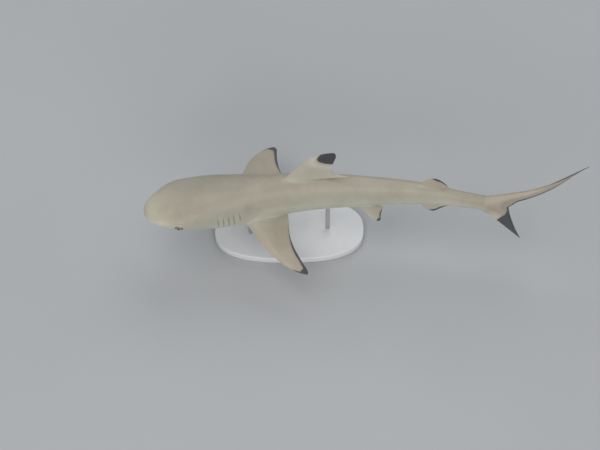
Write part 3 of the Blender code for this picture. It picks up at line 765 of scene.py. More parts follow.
for side in (-1, 1):
    rings, f, phi, P, s, th, values = ellipse_patch("eye", side, EYE_AT, LID, (13.5, 12.0), EYE_RINGS, None)
    p, along, up, n = f
    front = -np.cos(phi)             # 1 towards the snout
    low = -np.sin(phi)
    third = np.clip(0.55 * low + 0.45 * front + 0.12, 0, 1) ** 1.3     # the third lid, low and in front

    def inner(scale, height, **over):
        x, y = LID[0] * np.cos(phi) * scale, LID[1] * np.sin(phi) * scale
        q = p + (along * x[:, None] + up * y[:, None] + n * height[:, None]) / 1000
        return skin.add(q, **(values | over))
    h0 = (P - p) @ n * 1000
    one = np.ones_like(phi)
    lid_in = np.maximum(eyeball_height(LID[0] * np.cos(phi) * 0.965, LID[1] * np.sin(phi) * 0.965) + 0.10, -9)
    # painted shade deepening down the lid's inner edge towards the eyeball
    dark = 0.09 * one
    rings.append(inner(0.990 * one, h0 - 0.05, groove=0.02 * one))
    rings.append(inner(0.978 * one, h0 - 0.25, groove=0.05 * one))
    rings.append(inner(0.972 * one, 0.5 * (h0 + lid_in), groove=dark))
    # a shelf that is the third lid: out over the eyeball, round its edge and back under
    reach = 0.955 - 0.235 * third
    ex, ey = LID[0] * np.cos(phi), LID[1] * np.sin(phi)
    # faint painted shade over the shelf, more where it turns under
    for share, lift, tone in ((0.0, 0.24, 0.07), (0.35, 0.27, 0.03), (0.75, 0.27, 0.02), (0.95, 0.24, 0.05), (1.0, 0.15, 0.18)):
        sc = 0.962 + (reach - 0.962) * share
        rings.append(inner(sc, eyeball_height(ex * sc, ey * sc) + lift, groove=tone * one))
    # painted shadow along the shelf's underside, where it meets the eyeball
    for share, lift in ((0.97, 0.05), (0.5, 0.045), (0.0, 0.05)):
        sc = 0.962 + (reach - 0.962) * share
        rings.append(inner(sc, eyeball_height(ex * sc, ey * sc) + lift, groove=0.9 * one))
    # the socket behind the eyeball is painted fully dark as shade
    for beta in (0.94, 1.02, 1.12, 1.3, 1.6, 2.0, 2.5, 2.9):
        room = 0.06 + 0.36 * float(ease(0.95, 1.6, beta))
        deep = -0.72 * EYE_DEEP * 1000 + (EYE_DEEP * 1000 + room) * math.cos(beta)
        sx, sy = (EYE_LONG * 1000 + room) * math.sin(beta), (EYE_HIGH * 1000 + room) * math.sin(beta)
        q = p + (along * (np.cos(phi) * sx)[:, None] + up * (np.sin(phi) * sy)[:, None] + n * deep) / 1000
        rings.append(skin.add(q, **(values | dict(groove=one))))
    tip = skin.add(p + n * (-0.72 * EYE_DEEP - EYE_DEEP - 0.00042), groove=1.0)
    box_y = 0.02 if side < 0 else 0.10
    skin.bands(np.array(rings), (0.70, box_y, 0.98, box_y + 0.07))
    skin.cap(rings[-1], int(tip), (0.982, box_y, 0.998, box_y + 0.016))

NOSE_RINGS = (4.6, 4.1, 3.6, 3.1, 2.6, 2.1, 1.65, 1.25, 0.85, 0.5, 0.22, 0.0)
for side in (-1, 1):
    rings, f, phi, P, s, th, values = ellipse_patch("nose", side, NOSE_AT, NOSTRIL, (9.0, 7.0), NOSE_RINGS, None)
    p, along, up, n = f
    h0 = (P - p) @ n * 1000
    x0, y0 = NOSTRIL[0] * np.cos(phi), NOSTRIL[1] * np.sin(phi)
    one = np.ones_like(phi)
    # a small flap of the front edge hangs over the slit's middle
    flap = np.clip(-np.sin(phi), 0, 1) ** 0.7 * bell((x0 - 0.3) / 1.15)
    # painted shade deepening into the nostril, fainter on the flap that hangs over it
    for scale, drop, hang, tone in ((0.975, 0.06, 0.25, 0.1), (0.955, 0.20, 0.75, 0.2), (0.94, 0.40, 1.0, 0.45),
                                    (0.93, 0.62, 0.9, 0.8), (0.90, 0.85, 0.3, 1.0), (0.85, 1.4, 0.0, 1.0),
                                    (0.70, 2.1, 0.0, 1.0), (0.40, 2.6, 0.0, 1.0)):
        x = x0 * scale
        y = y0 * scale + flap * hang * 0.95
        q = p + (along * x[:, None] + up * y[:, None] + n * (h0 - drop)[:, None]) / 1000
        rings.append(skin.add(q, **(values | dict(groove=tone * (1 - 0.7 * flap) if drop < 0.7 else one))))
    tip = skin.add(p + n * (h0.mean() - 2.8) / 1000, groove=1.0)
    box_y = 0.18 if side < 0 else 0.22
    skin.bands(np.array(rings), (0.70, box_y, 0.98, box_y + 0.035))
    skin.cap(rings[-1], int(tip), (0.982, box_y, 0.998, box_y + 0.016))


# ---------------------------------------------------------------- fins
class Fin:
    """Plan of a fin, as in the solids: h from root to tip, u from front edge to hind edge."""

    def __init__(self, base, apex, free, at_free, bow, hollow, tip, thick, deep, shear=0.0, reach=1.0, blunt=0.10,
                 low=0.0):
        self.blunt, self.low = blunt, low
        self.base, self.apex, self.free, self.at_free = base, apex, free, at_free
        self.bow, self.hollow, self.tip, self.thick, self.deep = bow, hollow, tip, thick, deep
        self.shear, self.reach = shear, reach

    def front(self, h):
        ax, ay = self.apex
        n = math.hypot(ax, ay)
        k = 4 * h * (1 - h) * self.bow * (0.55 + 0.9 * h)
        return ax * h - k * ay / n, ay * h + k * ax / n

    def back(self, h):
        ax, ay = self.apex[0] + self.tip * 0.9, self.apex[1] - self.tip * 0.25
        fx, fy = self.free
        t = np.clip(h / self.at_free, 0, 1)
        u = np.clip((h - self.at_free) / (1 - self.at_free), 0, 1)
        n = math.hypot(ax - fx, ay - fy)
        off = self.hollow * 4 * u * (1 - u) * (1.25 + self.low - (0.5 + 2 * self.low) * u)
        x = np.where(h < self.at_free, self.base + (fx - self.base) * (1 - (1 - t) ** 1.6),
                     fx + (ax - fx) * u - off * (ay - fy) / n)
        y = np.where(h < self.at_free, fy * t, fy + (ay - fy) * u + off * (ax - fx) / n)
        return x, y

    def ends(self, h):
        hp = np.clip(h, 0, 1)
        fx, fy = self.front(hp)
        bx, by = self.back(hp)
        r = 0.93 * (1 - np.sqrt(np.clip(1 - np.clip((hp - 1) / self.blunt + 1, 0, 1) ** 2, 0, 1)))
        mx, my = (fx + bx) / 2, (fy + by) / 2
        fx, fy, bx, by = fx + (mx - fx) * r, fy + (my - fy) * r, bx + (mx - bx) * r, by + (my - by) * r
        sink = np.minimum(h, 0) * self.deep
        fy, by = fy + sink, by + sink
        fx, bx = fx + self.shear * np.maximum(fy, 0), bx + self.shear * np.maximum(by, 0)
        fy, by = np.where(fy > 0, fy * self.reach, fy), np.where(by > 0, by * self.reach, by)
        return fx, fy, bx, by

    def plan(self, h, u):
        fx, fy, bx, by = self.ends(h)
        return fx + (bx - fx) * u, fy + (by - fy) * u

    def half_thick(self, h, u):
        hc = np.clip(h, 0, 1)
        body = self.thick * (0.16 + 0.84 * (1 - hc) ** 1.15)
        edge = EDGE / LENGTH / 2
        shape = np.where(u < 0.28, np.sin(np.clip(u / 0.28, 0, 1) * math.pi / 2) ** 0.8,
                         np.cos(np.clip((u - 0.28) / 0.72, 0, 1) * math.pi / 2) ** 1.2)
        full = np.maximum(edge, edge + (body - edge) * shape)
        return full * (0.30 + 0.70 * np.sqrt(np.clip(1 - (np.clip(hc - 0.955, 0, 1) / 0.045) ** 2, 0, 1)))


def upright(origin, sign):
    def to_body(a, b, t):
        _, top, bot = body_size(origin + a)
        return np.stack([origin + a, t, top + b if sign > 0 else bot - b], -1)
    return to_body


def spread(origin, y0, z0, side, droop0, droop1, length, pitch):
    d0, d1 = math.radians(droop0), math.radians(droop1)

    def to_body(a, b, t):
        k = np.clip(b / length, 0, 1)
        ang = (d0 + (d0 + (d1 - d0) * k)) / 2
        return np.stack([origin + a, side * (y0 + b * np.cos(ang)),
                         z0 - b * np.sin(ang) - math.tan(math.radians(pitch)) * (a - 0.03) + t], -1)
    return to_body


NOSE_U, TAIL_U = 0.035, 0.014


def outline_loop(ni, nj):
    """u and the sideways share of the thickness round a fin's section, in a block edge's order."""
    a = np.linspace(-math.pi / 2, math.pi / 2, nj + 1)
    front = (NOSE_U * (1 - np.cos(a)), np.sin(a))
    x = np.linspace(0, 1, ni + 1)
    x = x - 0.10 * np.sin(2 * math.pi * x) / (2 * math.pi) * 2
    run = NOSE_U + (1 - NOSE_U - TAIL_U) * x
    a = np.linspace(math.pi / 2, -math.pi / 2, nj + 1)
    rear = (1 - TAIL_U * (1 - np.cos(a)), np.sin(a))
    u = np.concatenate([front[0][:-1], run[:-1], rear[0][:-1], run[::-1][:-1]])
    t = np.concatenate([front[1][:-1], np.ones(ni), rear[1][:-1], -np.ones(ni)])
    return u, t


def thickness(fin, h, u, t):
    """Signed half thickness; both edges are rounded over."""
    full = fin.half_thick(h, np.clip(u, NOSE_U, 1 - TAIL_U))
    nose = np.where(u < NOSE_U, 1.0, 1.0)
    return full * t * nose


def grow_fin(fin, to_body, up_sign, fillet, margin, steps, marks, map_box):
    """Opens the body where the fin stands and grows it out of the skin in one run of rings."""
    probe_u = np.linspace(0.0, 1.0, 25)
    both = np.concatenate([np.full(25, 1.0), np.full(25, -1.0)])
    pu = np.concatenate([probe_u, probe_u])
    pt = both

    def root(u, t):
        low, high = np.full(u.shape, -1.6), np.full(u.shape, 0.35)
        for _ in range(40):
            mid = (low + high) / 2
            a, b = fin.plan(mid, u)
            inside = beyond(to_body(a, b, thickness(fin, mid, u, t))) < 0
            low, high = np.where(inside, mid, low), np.where(inside, high, mid)
        return (low + high) / 2

    def point(h, u, t):
        a, b = fin.plan(h, u)
        return to_body(a, b, thickness(fin, h, u, t))
    r = point(root(pu, pt), pu, pt)
    th_r = round_from_back(r)
    centre = np.arctan2(np.sin(th_r).mean(), np.cos(th_r).mean())
    th_r = centre + (th_r - centre + math.pi) % (2 * math.pi) - math.pi
    jc = int(np.argmin(np.abs((TH - centre + math.pi) % (2 * math.pi) - math.pi)))
    arc = np.linalg.norm(surf(r[:, 0], th_r + 0.01) - surf(r[:, 0], th_r), axis=-1) / 0.01
    lo_th, hi_th = (th_r - margin[1] * MM / arc).min(), (th_r + margin[1] * MM / arc).max()
    off = lambda j: (TH[j % COLUMNS] - centre + math.pi) % (2 * math.pi) - math.pi
    j0 = next(j for j in range(jc, jc - HALF, -1) if off(j) <= lo_th - centre)
    j1 = next(j for j in range(jc, jc + HALF) if off(j) >= hi_th - centre)
    line_s = SS[:, jc]
    i0 = int(np.searchsorted(line_s, r[:, 0].min() - margin[0] * MM)) - 1
    i1 = int(np.searchsorted(line_s, r[:, 0].max() + margin[2] * MM))
    i, j = block(i0, i1, j0, j1)
    ni, nj = i1 - i0, j1 - j0
    u, side_t = outline_loop(ni, nj)
    t = side_t * up_sign
    hr = root(u, t)
    R = point(hr, u, t)
    thR = round_from_back(R)
    thB = TT[i, j]
    thR = thB + (thR - thB + math.pi) % (2 * math.pi) - math.pi
    # where the fin's own face begins: a set distance out from the root
    want = (fillet[0] + (fillet[1] - fillet[0]) * ease(0.55, 1.0, u)) * MM
    low, high = hr.copy(), hr + 0.6
    for _ in range(36):
        mid = (low + high) / 2
        far = np.linalg.norm(point(mid, u, t) - R, axis=-1) > want
        low, high = np.where(far, low, mid), np.where(far, mid, high)
    h1 = (low + high) / 2
    sB = SS[i, j]
    flat0 = surf(sB, thB)
    edge_off = GRID[i, j]
    base_values = skin_values(sB, thB, RR[i, j])
    rings = [grid_ids[i, j]]
    K = steps[0]
    for m in range(1, K):
        w = m / K
        beta = float(ease(0, 1, w))
        C = surf(sB + (R[:, 0] - sB) * w, thB + (thR - thB) * w)
        F = point(hr + (h1 - hr) * w, u, t)
        P = place((1 - beta) * C + beta * F)
        P = P + (edge_off - place(flat0)) * (1 - w) ** 3
        v = marks(fin, hr + (h1 - hr) * w, u, t, to_body)
        mixed = {k: base_values.get(k, FAR if k == "black" else 99.0 if k in ("rim", "line") else 0.0) * (1 - beta)
                 + v[k] * beta for k in v}
        mixed["line"], mixed["canal"] = base_values["line"], base_values["canal"] * (1 - beta)
        mixed["flank"] = base_values["flank"] * (1 - beta) + v["flank"] * beta
        rings.append(skin.add(P, **mixed))
    q_all = np.concatenate([np.linspace(0, 0.20, steps[1]), np.linspace(0.20, 0.87, steps[2])[1:],
                            0.87 + 0.13 * np.sin(np.linspace(0, math.pi / 2, steps[3]))[1:]])
    for q in q_all:
        h = h1 + (1 - h1) * q
        P = place(point(h, u, t))
        rings.append(skin.add(P, **(marks(fin, h, u, t, to_body) | dict(line=base_values["line"]))))
    rings = np.array(rings)
    skin.bands(rings, map_box)
    end = rings[-1]
    top = skin.add(P.mean(0), **{k: float(np.mean(v)) for k, v in marks(fin, h, u, t, to_body).items()})
    x0, y0, x1, y1 = map_box
    skin.cap(end, int(top), (x1 + 0.001, y0, x1 + 0.011, y0 + 0.010))
    return h1


def plan_mm(fin, h, u):
    a, b = fin.plan(h, u)
    return a / MM, b / MM


def basic(fin, h, u, t):
    """Distances that every fin's marks use: to the hind edge along the chord, and out from the root, mm."""
    fx, fy, bx, by = fin.ends(h)
    chord = np.hypot(bx - fx, by - fy) / MM
    rim = (1 - u) * chord
    lead = u * chord
    out = (fin.apex[1] * fin.reach) / MM * np.clip(h, 0, 1)
    # rays fan out from the root towards the hind edge
    ray = (u * 0.9 + 0.35 * np.clip(h, 0, 1)) * 60.0
    return rim, lead, out, ray, chord


def dorsal_marks(fin, h, u, t, to_body):
    rim, lead, out, ray, chord = basic(fin, h, u, t)
    cut = curve(((0.0, 0.830), (0.15, 0.730), (0.4, 0.662), (0.7, 0.650), (1.0, 0.675)), u)
    black = (h - cut) * fin.apex[1] / MM
    pale = bell((black + 6.5) / 5.0) * (black < 2)
    return dict(dorsal=np.clip(0.80 + 0 * u, 0, 1), black=black, fin=0.45 * ease(0.0, 0.25, h) + 0 * u, rim=rim, ray=ray,
                groove=0 * u, snout=0 * u, pale=pale, flank=0.75 + 0 * u)


def small_marks(start, edge_mm, from_h, shade):
    """Black tip from h = start, and a black hind margin edge_mm wide beyond from_h."""
    def marks(fin, h, u, t, to_body):
        rim, lead, out, ray, chord = basic(fin, h, u, t)
        tip = (h - (start + 0.18 * (0.5 - u))) * math.hypot(*fin.apex) / MM
        margin = edge_mm * ease(from_h, from_h + 0.35, h) - rim - 0.6 * (1 - ease(from_h, from_h + 0.35, h))
        black = np.maximum(tip, margin)
        up = np.where(t > 0, 1.0, 0.0) if shade == "flat" else np.full(u.shape, {"back": 0.85, "belly": 0.70}[shade])
        if shade == "flat":
            up = 0.5 + 0.36 * np.clip(t, -1, 1)
        return dict(dorsal=up, black=black, fin=(0.62 if shade == "flat" else 1.0) * ease(0.0, 0.3, h) + 0 * u, rim=rim, ray=ray,
                    groove=0 * u, snout=0 * u, pale=0 * u, flank=0.5 + 0 * u)
    return marks


def pectoral_marks(fin, h, u, t, to_body):
    rim, lead, out, ray, chord = basic(fin, h, u, t)
    span = math.hypot(*fin.apex) / MM
    tip = (h - (0.905 - 0.05 * (u - 0.5))) * span
    width = 0.3 + 2.9 * ease(0.20, 0.65, h) + 1.2 * ease(0.72, 0.95, h)
    margin = width - rim
    margin = np.where(h < 0.20, margin - (0.20 - h) * 30, margin)
    wrap = 2.0 * ease(0.80, 0.97, h) - lead - 9.0 * (1 - ease(0.70, 0.86, h))
    black = np.maximum(np.maximum(tip, margin), wrap)
    under = ease(-1, 1, t / 1.0)
    up = np.clip(0.10 + 0.82 * under, 0, 1)
    black = np.where(t < 0, np.maximum(tip + 6.0, margin), black)      # a broader dark tip underneath
    return dict(dorsal=up, black=black, fin=ease(0.0, 0.25, h) + 0 * u, rim=rim, ray=ray, groove=0 * u,
                snout=0 * u, pale=0 * u, flank=0.5 + 0 * u)


PECTORAL = dict(at_free=0.13, tip=0.014, thick=0.0105, deep=0.024)
LEFT_PLAN = dict(base=0.0945, apex=(0.1045, 0.138), free=(0.0935, 0.0120), bow=0.0205, hollow=0.013)
RIGHT_PLAN = dict(base=0.1085, apex=(0.1045, 0.1385), free=(0.1080, 0.0120), bow=0.0165, hollow=0.008, blunt=0.08)
DORSAL = Fin(base=0.090, apex=(0.100, 0.0940), free=(0.142, 0.0075), at_free=0.11, bow=0.0125, hollow=0.026,
             tip=0.014, thick=0.0085, deep=0.018, blunt=0.13, low=0.40)
SECOND = Fin(base=0.046, apex=(0.034, 0.0335), free=(0.0665, 0.0075), at_free=0.18, bow=0.004, hollow=-0.002,
             tip=0.013, thick=0.0048, deep=0.012, blunt=0.16)
ANAL = Fin(base=0.044, apex=(0.034, 0.036), free=(0.069, 0.0090), at_free=0.20, bow=0.004, hollow=0.001,
           tip=0.006, thick=0.0048, deep=0.010)
PELVIC = dict(base=0.043, apex=(0.043, 0.035), free=(0.055, 0.0050), at_free=0.14, bow=0.003, hollow=0.002,
              tip=0.008, thick=0.0055, deep=0.010)

LARGE, SMALL = (6, 10, 22, 10), (5, 6, 12, 7)
# up_sign turns the loop so that the block's high side meets the face that looks the same way
grow_fin(Fin(shear=0.14, reach=0.93, **PECTORAL, **LEFT_PLAN), spread(0.2222, 0.045, -0.034, -1, 8, 22, 0.14, 3), 1,
         (4.2, 1.4), (5.0, 4.5, 4.5), LARGE, pectoral_marks, (0.44, 0.02, 0.66, 0.20))
grow_fin(Fin(shear=-0.14, reach=1.114, **PECTORAL, **RIGHT_PLAN), spread(0.214, 0.045, -0.034, 1, 13, 27, 0.14, 3), -1,
         (4.2, 1.4), (5.0, 4.5, 4.5), LARGE, pectoral_marks, (0.44, 0.22, 0.66, 0.40))
grow_fin(DORSAL, upright(0.312, 1), 1, (3.4, 1.2), (4.5, 3.5, 3.5), LARGE, dorsal_marks, (0.44, 0.42, 0.66, 0.58))
grow_fin(SECOND, upright(0.602, 1), 1, (1.8, 0.8), (2.8, 2.2, 2.2), SMALL, small_marks(0.80, 2.3, 0.34, "back"),
         (0.44, 0.60, 0.54, 0.66))
grow_fin(ANAL, upright(0.603, -1), -1, (1.8, 0.8), (2.8, 2.2, 2.2), SMALL, small_marks(0.76, 5.0, 0.10, "belly"),
         (0.56, 0.60, 0.66, 0.66))
grow_fin(Fin(**PELVIC), spread(0.474, 0.0150, -0.0310, -1, 26, 34, 0.04, 2), 1, (1.9, 0.9), (3.0, 2.4, 2.4), SMALL,
         small_marks(0.88, 1.7, 0.12, "flat"), (0.44, 0.68, 0.54, 0.74))
grow_fin(Fin(**PELVIC), spread(0.474, 0.0150, -0.0310, 1, 26, 34, 0.04, 2), -1, (1.9, 0.9), (3.0, 2.4, 2.4), SMALL,
         small_marks(0.88, 1.7, 0.12, "flat"), (0.56, 0.68, 0.66, 0.74))

# ---------------------------------------------------------------- the body's faces
a, b = grid_ids, np.roll(grid_ids, -1, axis=1)
ii, jj = np.meshgrid(np.arange(NR - 1), np.arange(COLUMNS), indexing="ij")
keep = ~hole
u = 0.01 + 0.41 * np.arange(COLUMNS + 1) / COLUMNS
v = 0.01 + 0.97 * RUN / RUN[-1]
uv = np.stack([np.stack([u[jj], v[ii]], -1), np.stack([u[jj], v[ii + 1]], -1),
               np.stack([u[jj + 1], v[ii + 1]], -1), np.stack([u[jj + 1], v[ii]], -1)], -2)
skin.quad(a[:-1][keep], a[1:][keep], b[1:][keep], b[:-1][keep], uv[keep])
# the snout tip carries the painted highlight too
nose_tip = skin.add(place(np.array([0.0, 0.0, STATIONS[0][2]])), dorsal=0.9, flank=0.5, glow=0.34)
skin.cap(grid_ids[0], int(nose_tip), (0.982, 0.26, 0.998, 0.276))


# ---------------------------------------------------------------- the tail's plate
def upper_edge(d):
    d = np.asarray(d, float)
    a0, a1 = (math.radians(v) for v in TAIL_RISE)
    k = (a1 - a0) / TAIL_EDGE
    a = a0 + k * d * TAIL_EDGE
    return (TAIL_END + (np.sin(a) - math.sin(a0)) / k,
            body_size(TAIL_END)[1] + (math.cos(a0) - np.cos(a)) / k, np.cos(a), np.sin(a))


def arc(p0, p1, p2, t):
    return tuple((1 - t) ** 2 * p0[k] + 2 * t * (1 - t) * p1[k] + t * t * p2[k] for k in (0, 1))


def tail_row(c):
    root = (TAIL_END, float(body_size(TAIL_END)[2]))
    if c <= 1:
        d = 0.105 * c ** 0.9
        v = arc(root, (root[0] + 0.048, root[1] - 0.045), LOWER_LOBE, c)
    elif c <= 2:
        d = 0.105 + 0.065 * (c - 1)
        v = arc(LOWER_LOBE, (FORK[0] + 0.003, FORK[1] - 0.034), FORK, c - 1)
    else:
        d = 0.17 + 0.83 * (c - 2)
        x, z, cx, cz = (float(q) for q in upper_edge(d))
        w = float(curve(WEB, d))
        v = (x + cz * w, z - cx * w)
        if d < 0.30:
            k = float(ease(0.17, 0.30, d))
            f = (FORK[0] + (d - 0.17) * TAIL_EDGE * cx, FORK[1] + (d - 0.17) * TAIL_EDGE * cz)
            v = ((1 - k) * f[0] + k * v[0], (1 - k) * f[1] + k * v[1])
    x, z, _, _ = upper_edge(d)
    return (float(x), float(z)), v, d


def tail_ring(c, th):
    """Straight coordinates of one line of the plate, and its facts."""
    D, V, d = tail_row(c)
    v = (1 - np.cos(th)) / 2
    side = np.sin(th)
    span = math.hypot(V[0] - D[0], V[1] - D[1])
    dist = v * span
    w0, top, bot = (float(q) for q in body_size(TAIL_END))
    core_at = curve(((0.0, 0.021), (0.10, 0.018), (0.20, 0.015), (0.50, 0.011), (0.80, 0.008), (1.0, 0.001)), d)
    core_w = curve(((0.0, w0), (0.10, 0.0105), (0.20, 0.0085), (0.50, 0.0052), (0.80, 0.0030), (1.0, 0.0008)), d)
    edge = EDGE / LENGTH / 2
    wide = np.where(dist < core_at, core_at * 0.75, 0.55 * core_at + 0.16 * span)
    blade = edge + (core_w - edge) * np.exp(-((dist - core_at) / wide) ** 2)
    blade = blade * np.abs(side) ** 0.45
    k = float(ease(0.0, 0.45, c))
    half = (1 - k) * w0 * np.abs(side) + k * blade
    lean = math.radians(float(curve(LEAN, d)))
    x = D[0] + (V[0] - D[0]) * v
    drop = (D[1] - V[1]) * v
    y = np.sign(side) * half * math.cos(lean) + drop * math.sin(lean)
    z = D[1] - drop * math.cos(lean) + 0 * th
    return np.stack([x, y, z], -1), span, v, d, D, V


lines = [tail_row(c) for c in np.linspace(0, 3, 1501)]
ends = np.array([list(l[0]) + list(l[1]) for l in lines]) * LENGTH * 1000
step = np.maximum(np.linalg.norm(np.diff(ends[:, :2], axis=0), axis=1), np.linalg.norm(np.diff(ends[:, 2:], axis=0), axis=1))
cs = np.linspace(0, 3, 1501)
want = curve(((0.0, 1.1), (0.3, 2.1), (0.85, 2.4), (1.0, 1.5), (1.2, 2.6), (1.85, 2.6), (2.0, 1.6), (2.2, 2.8),
              (2.65, 2.6), (2.75, 1.5), (2.95, 1.5), (3.0, 1.0)), cs[1:])
count = np.concatenate([[0], np.cumsum(step / want)])
tail_cs = np.interp(np.linspace(0, count[-1], int(round(count[-1])) + 1), count, cs)[1:]
tail_cs = np.unique(np.concatenate([tail_cs, [1.0, 2.0]]))

LOBE_LINE = ((0.776, -0.062), (0.803, -0.018))
last = surf(np.full(COLUMNS, TAIL_END), TH)
bridge = last - tail_ring(0.0, TH)[0]
fine = GRID[-1] - place(last)
lower_edge = np.array([lines[k][1] for k in range(0, 1501, 3)])      # the plate's free lower and hind outline
lower_c = cs[::3]
rings = [grid_ids[-1]]


def k_of(c):
    return float(ease(0.0, 0.5, c))


for c in tail_cs:
    p, span, v, d, D, V = tail_ring(c, TH)
    p = p + bridge * (1 - float(ease(0, 0.30, c)))
    flat = np.stack([D[0] + (V[0] - D[0]) * v, D[1] + (V[1] - D[1]) * v], -1)
    hind = (lower_c >= 1.0)
    gap_hind = np.sqrt(((flat[:, None, :] - lower_edge[None, hind, :]) ** 2).sum(-1)).min(1) / MM
    # the lower lobe's black end beyond a slanting line, softer along its front edge,
    # and the dark hind margin that runs on to the tip
    gap_front = np.sqrt(((flat[:, None, :] - lower_edge[None, lower_c <= 1.0, :]) ** 2).sum(-1)).min(1) / MM
    ax, az = LOBE_LINE[1][0] - LOBE_LINE[0][0], LOBE_LINE[1][1] - LOBE_LINE[0][1]
    lobe = ((flat[:, 0] - LOBE_LINE[0][0]) * az - (flat[:, 1] - LOBE_LINE[0][1]) * ax) / math.hypot(ax, az) / MM
    lobe = np.minimum(np.minimum(lobe, -0.30 + 0.55 * gap_front), 0.90)
    lobe = np.where(flat[:, 1] < FORK[1] + 0.004, lobe, -20.0 + 0 * lobe)
    along_up = d
    width = 3.1 + 0.6 * float(ease(0.70, 0.98, along_up)) - 1.3 * float(bell((along_up - 0.20) / 0.08))
    margin = width - gap_hind
    crest = (0.2 + 1.3 * float(ease(0.58, 0.85, along_up))) - v * span / MM - 1.6 * (1 - float(ease(0.42, 0.80, along_up)))
    margin = np.maximum(margin, crest)
    end_tip = (float(along_up) - 0.935) * TAIL_EDGE / MM if c > 2 else -20.0
    ridge = k_of(c) * (1 - ease(0.7, 2.8, v * span / MM))           # brown line along the top of the upper lobe
    black = np.maximum(np.maximum(lobe, margin), end_tip)
    k = k_of(c)
    below = ease(0.35, 0.8, v) * (1 - float(ease(0.6, 1.6, c)))
    shade = (1 - k) * countershade(np.full(COLUMNS, TAIL_END), TH) + k * (0.88 - 0.26 * below)
    fin_share = np.clip(k * (0.80 + 0.20 * ease(0.20, 0.5, v)), 0, 1)
    ray = (np.arctan2(flat[:, 0] - 0.70, -(flat[:, 1] - 0.06))) * 95.0
    # on the tail: a painted highlight over the upper lobe's middle, less a brown line along its top that is partly the
    # species' dark edge and partly painted shade
    rings.append(skin.add(place(p) + fine * (1 - float(ease(0, 0.2, c))), dorsal=shade, black=black, fin=fin_share,
                          rim=gap_hind, ray=ray, line=lateral_line(np.full(COLUMNS, TAIL_END), TH),
                          groove=0 * v, snout=0 * v, pale=0 * v, glow=k * (0.12 * bell((d - 0.50) / 0.22) + 0 * v) - (0.05 + 0.17 * ease(0.10, 0.40, d)) * ridge,
                          flank=(1 - k) * ease(45, 100, np.degrees(np.abs((TH + math.pi) % (2 * math.pi) - math.pi))) + 0.5 * k))
rings = np.array(rings)
skin.bands(rings, (0.70, 0.28, 0.98, 0.90))
tip = skin.add(place(np.append(np.array([lines[-1][0]]), 0).reshape(3)[[0, 2, 1]]) * 0 + GRID[0, 0] * 0 + place(tail_ring(3.0, TH)[0]).mean(0), dorsal=0.9, black=6.0, fin=1.0, rim=0.0)
skin.cap(rings[-1], int(tip), (0.982, 0.90, 0.998, 0.916))


def build_skin():
    co = np.concatenate(skin.co)
    quads, tris = np.concatenate(skin.quads), np.concatenate(skin.tris)
    used = np.zeros(len(co), bool)
    used[quads.ravel()] = True
    used[tris.ravel()] = True
    new = np.cumsum(used) - 1
    co, quads, tris = co[used], new[quads], new[tris]
    me = bpy.data.meshes.new("shark_skin")
    nq, nt = len(quads), len(tris)
    me.vertices.add(len(co))
    me.vertices.foreach_set("co", co.astype(np.float32).ravel())
    me.loops.add(nq * 4 + nt * 3)
    me.loops.foreach_set("vertex_index", np.concatenate([quads.ravel(), tris.ravel()]).astype(np.int32))
    me.polygons.add(nq + nt)
    start = np.concatenate([np.arange(nq) * 4, nq * 4 + np.arange(nt) * 3]).astype(np.int32)
    me.polygons.foreach_set("loop_start", start)
    me.update(calc_edges=True)
    layer = me.uv_layers.new(name="OFBake")
    layer.uv.foreach_set("vector", np.concatenate([np.concatenate(skin.quad_uv).reshape(-1), np.concatenate(skin.tri_uv).reshape(-1)]).astype(np.float32))
    for k in ATTRS:
        values = np.concatenate(skin.val[k])[used]
        me.attributes.new(k, "FLOAT", "POINT").data.foreach_set("value", values.astype(np.float32))
    bm = bmesh.new()
    bm.from_mesh(me)
    bmesh.ops.recalc_face_normals(bm, faces=bm.faces[:])
    if bm.calc_volume(signed=True) < 0:
        bmesh.ops.reverse_faces(bm, faces=bm.faces[:])
    bm.to_mesh(me)
    bm.free()
    me.shade_smooth()
    ob = bpy.data.objects.new("skin", me)
    scene.collection.objects.link(ob)
    return ob


shark = build_skin()
shark.data.materials.append(skin_material())
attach(shark, "root")
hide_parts("head", "trunk", "tail", "caudal_fin", "pectoral_fin_left", "pectoral_fin_right",
            "pelvic_fin_left", "pelvic_fin_right", "first_dorsal_fin", "second_dorsal_fin", "anal_fin")

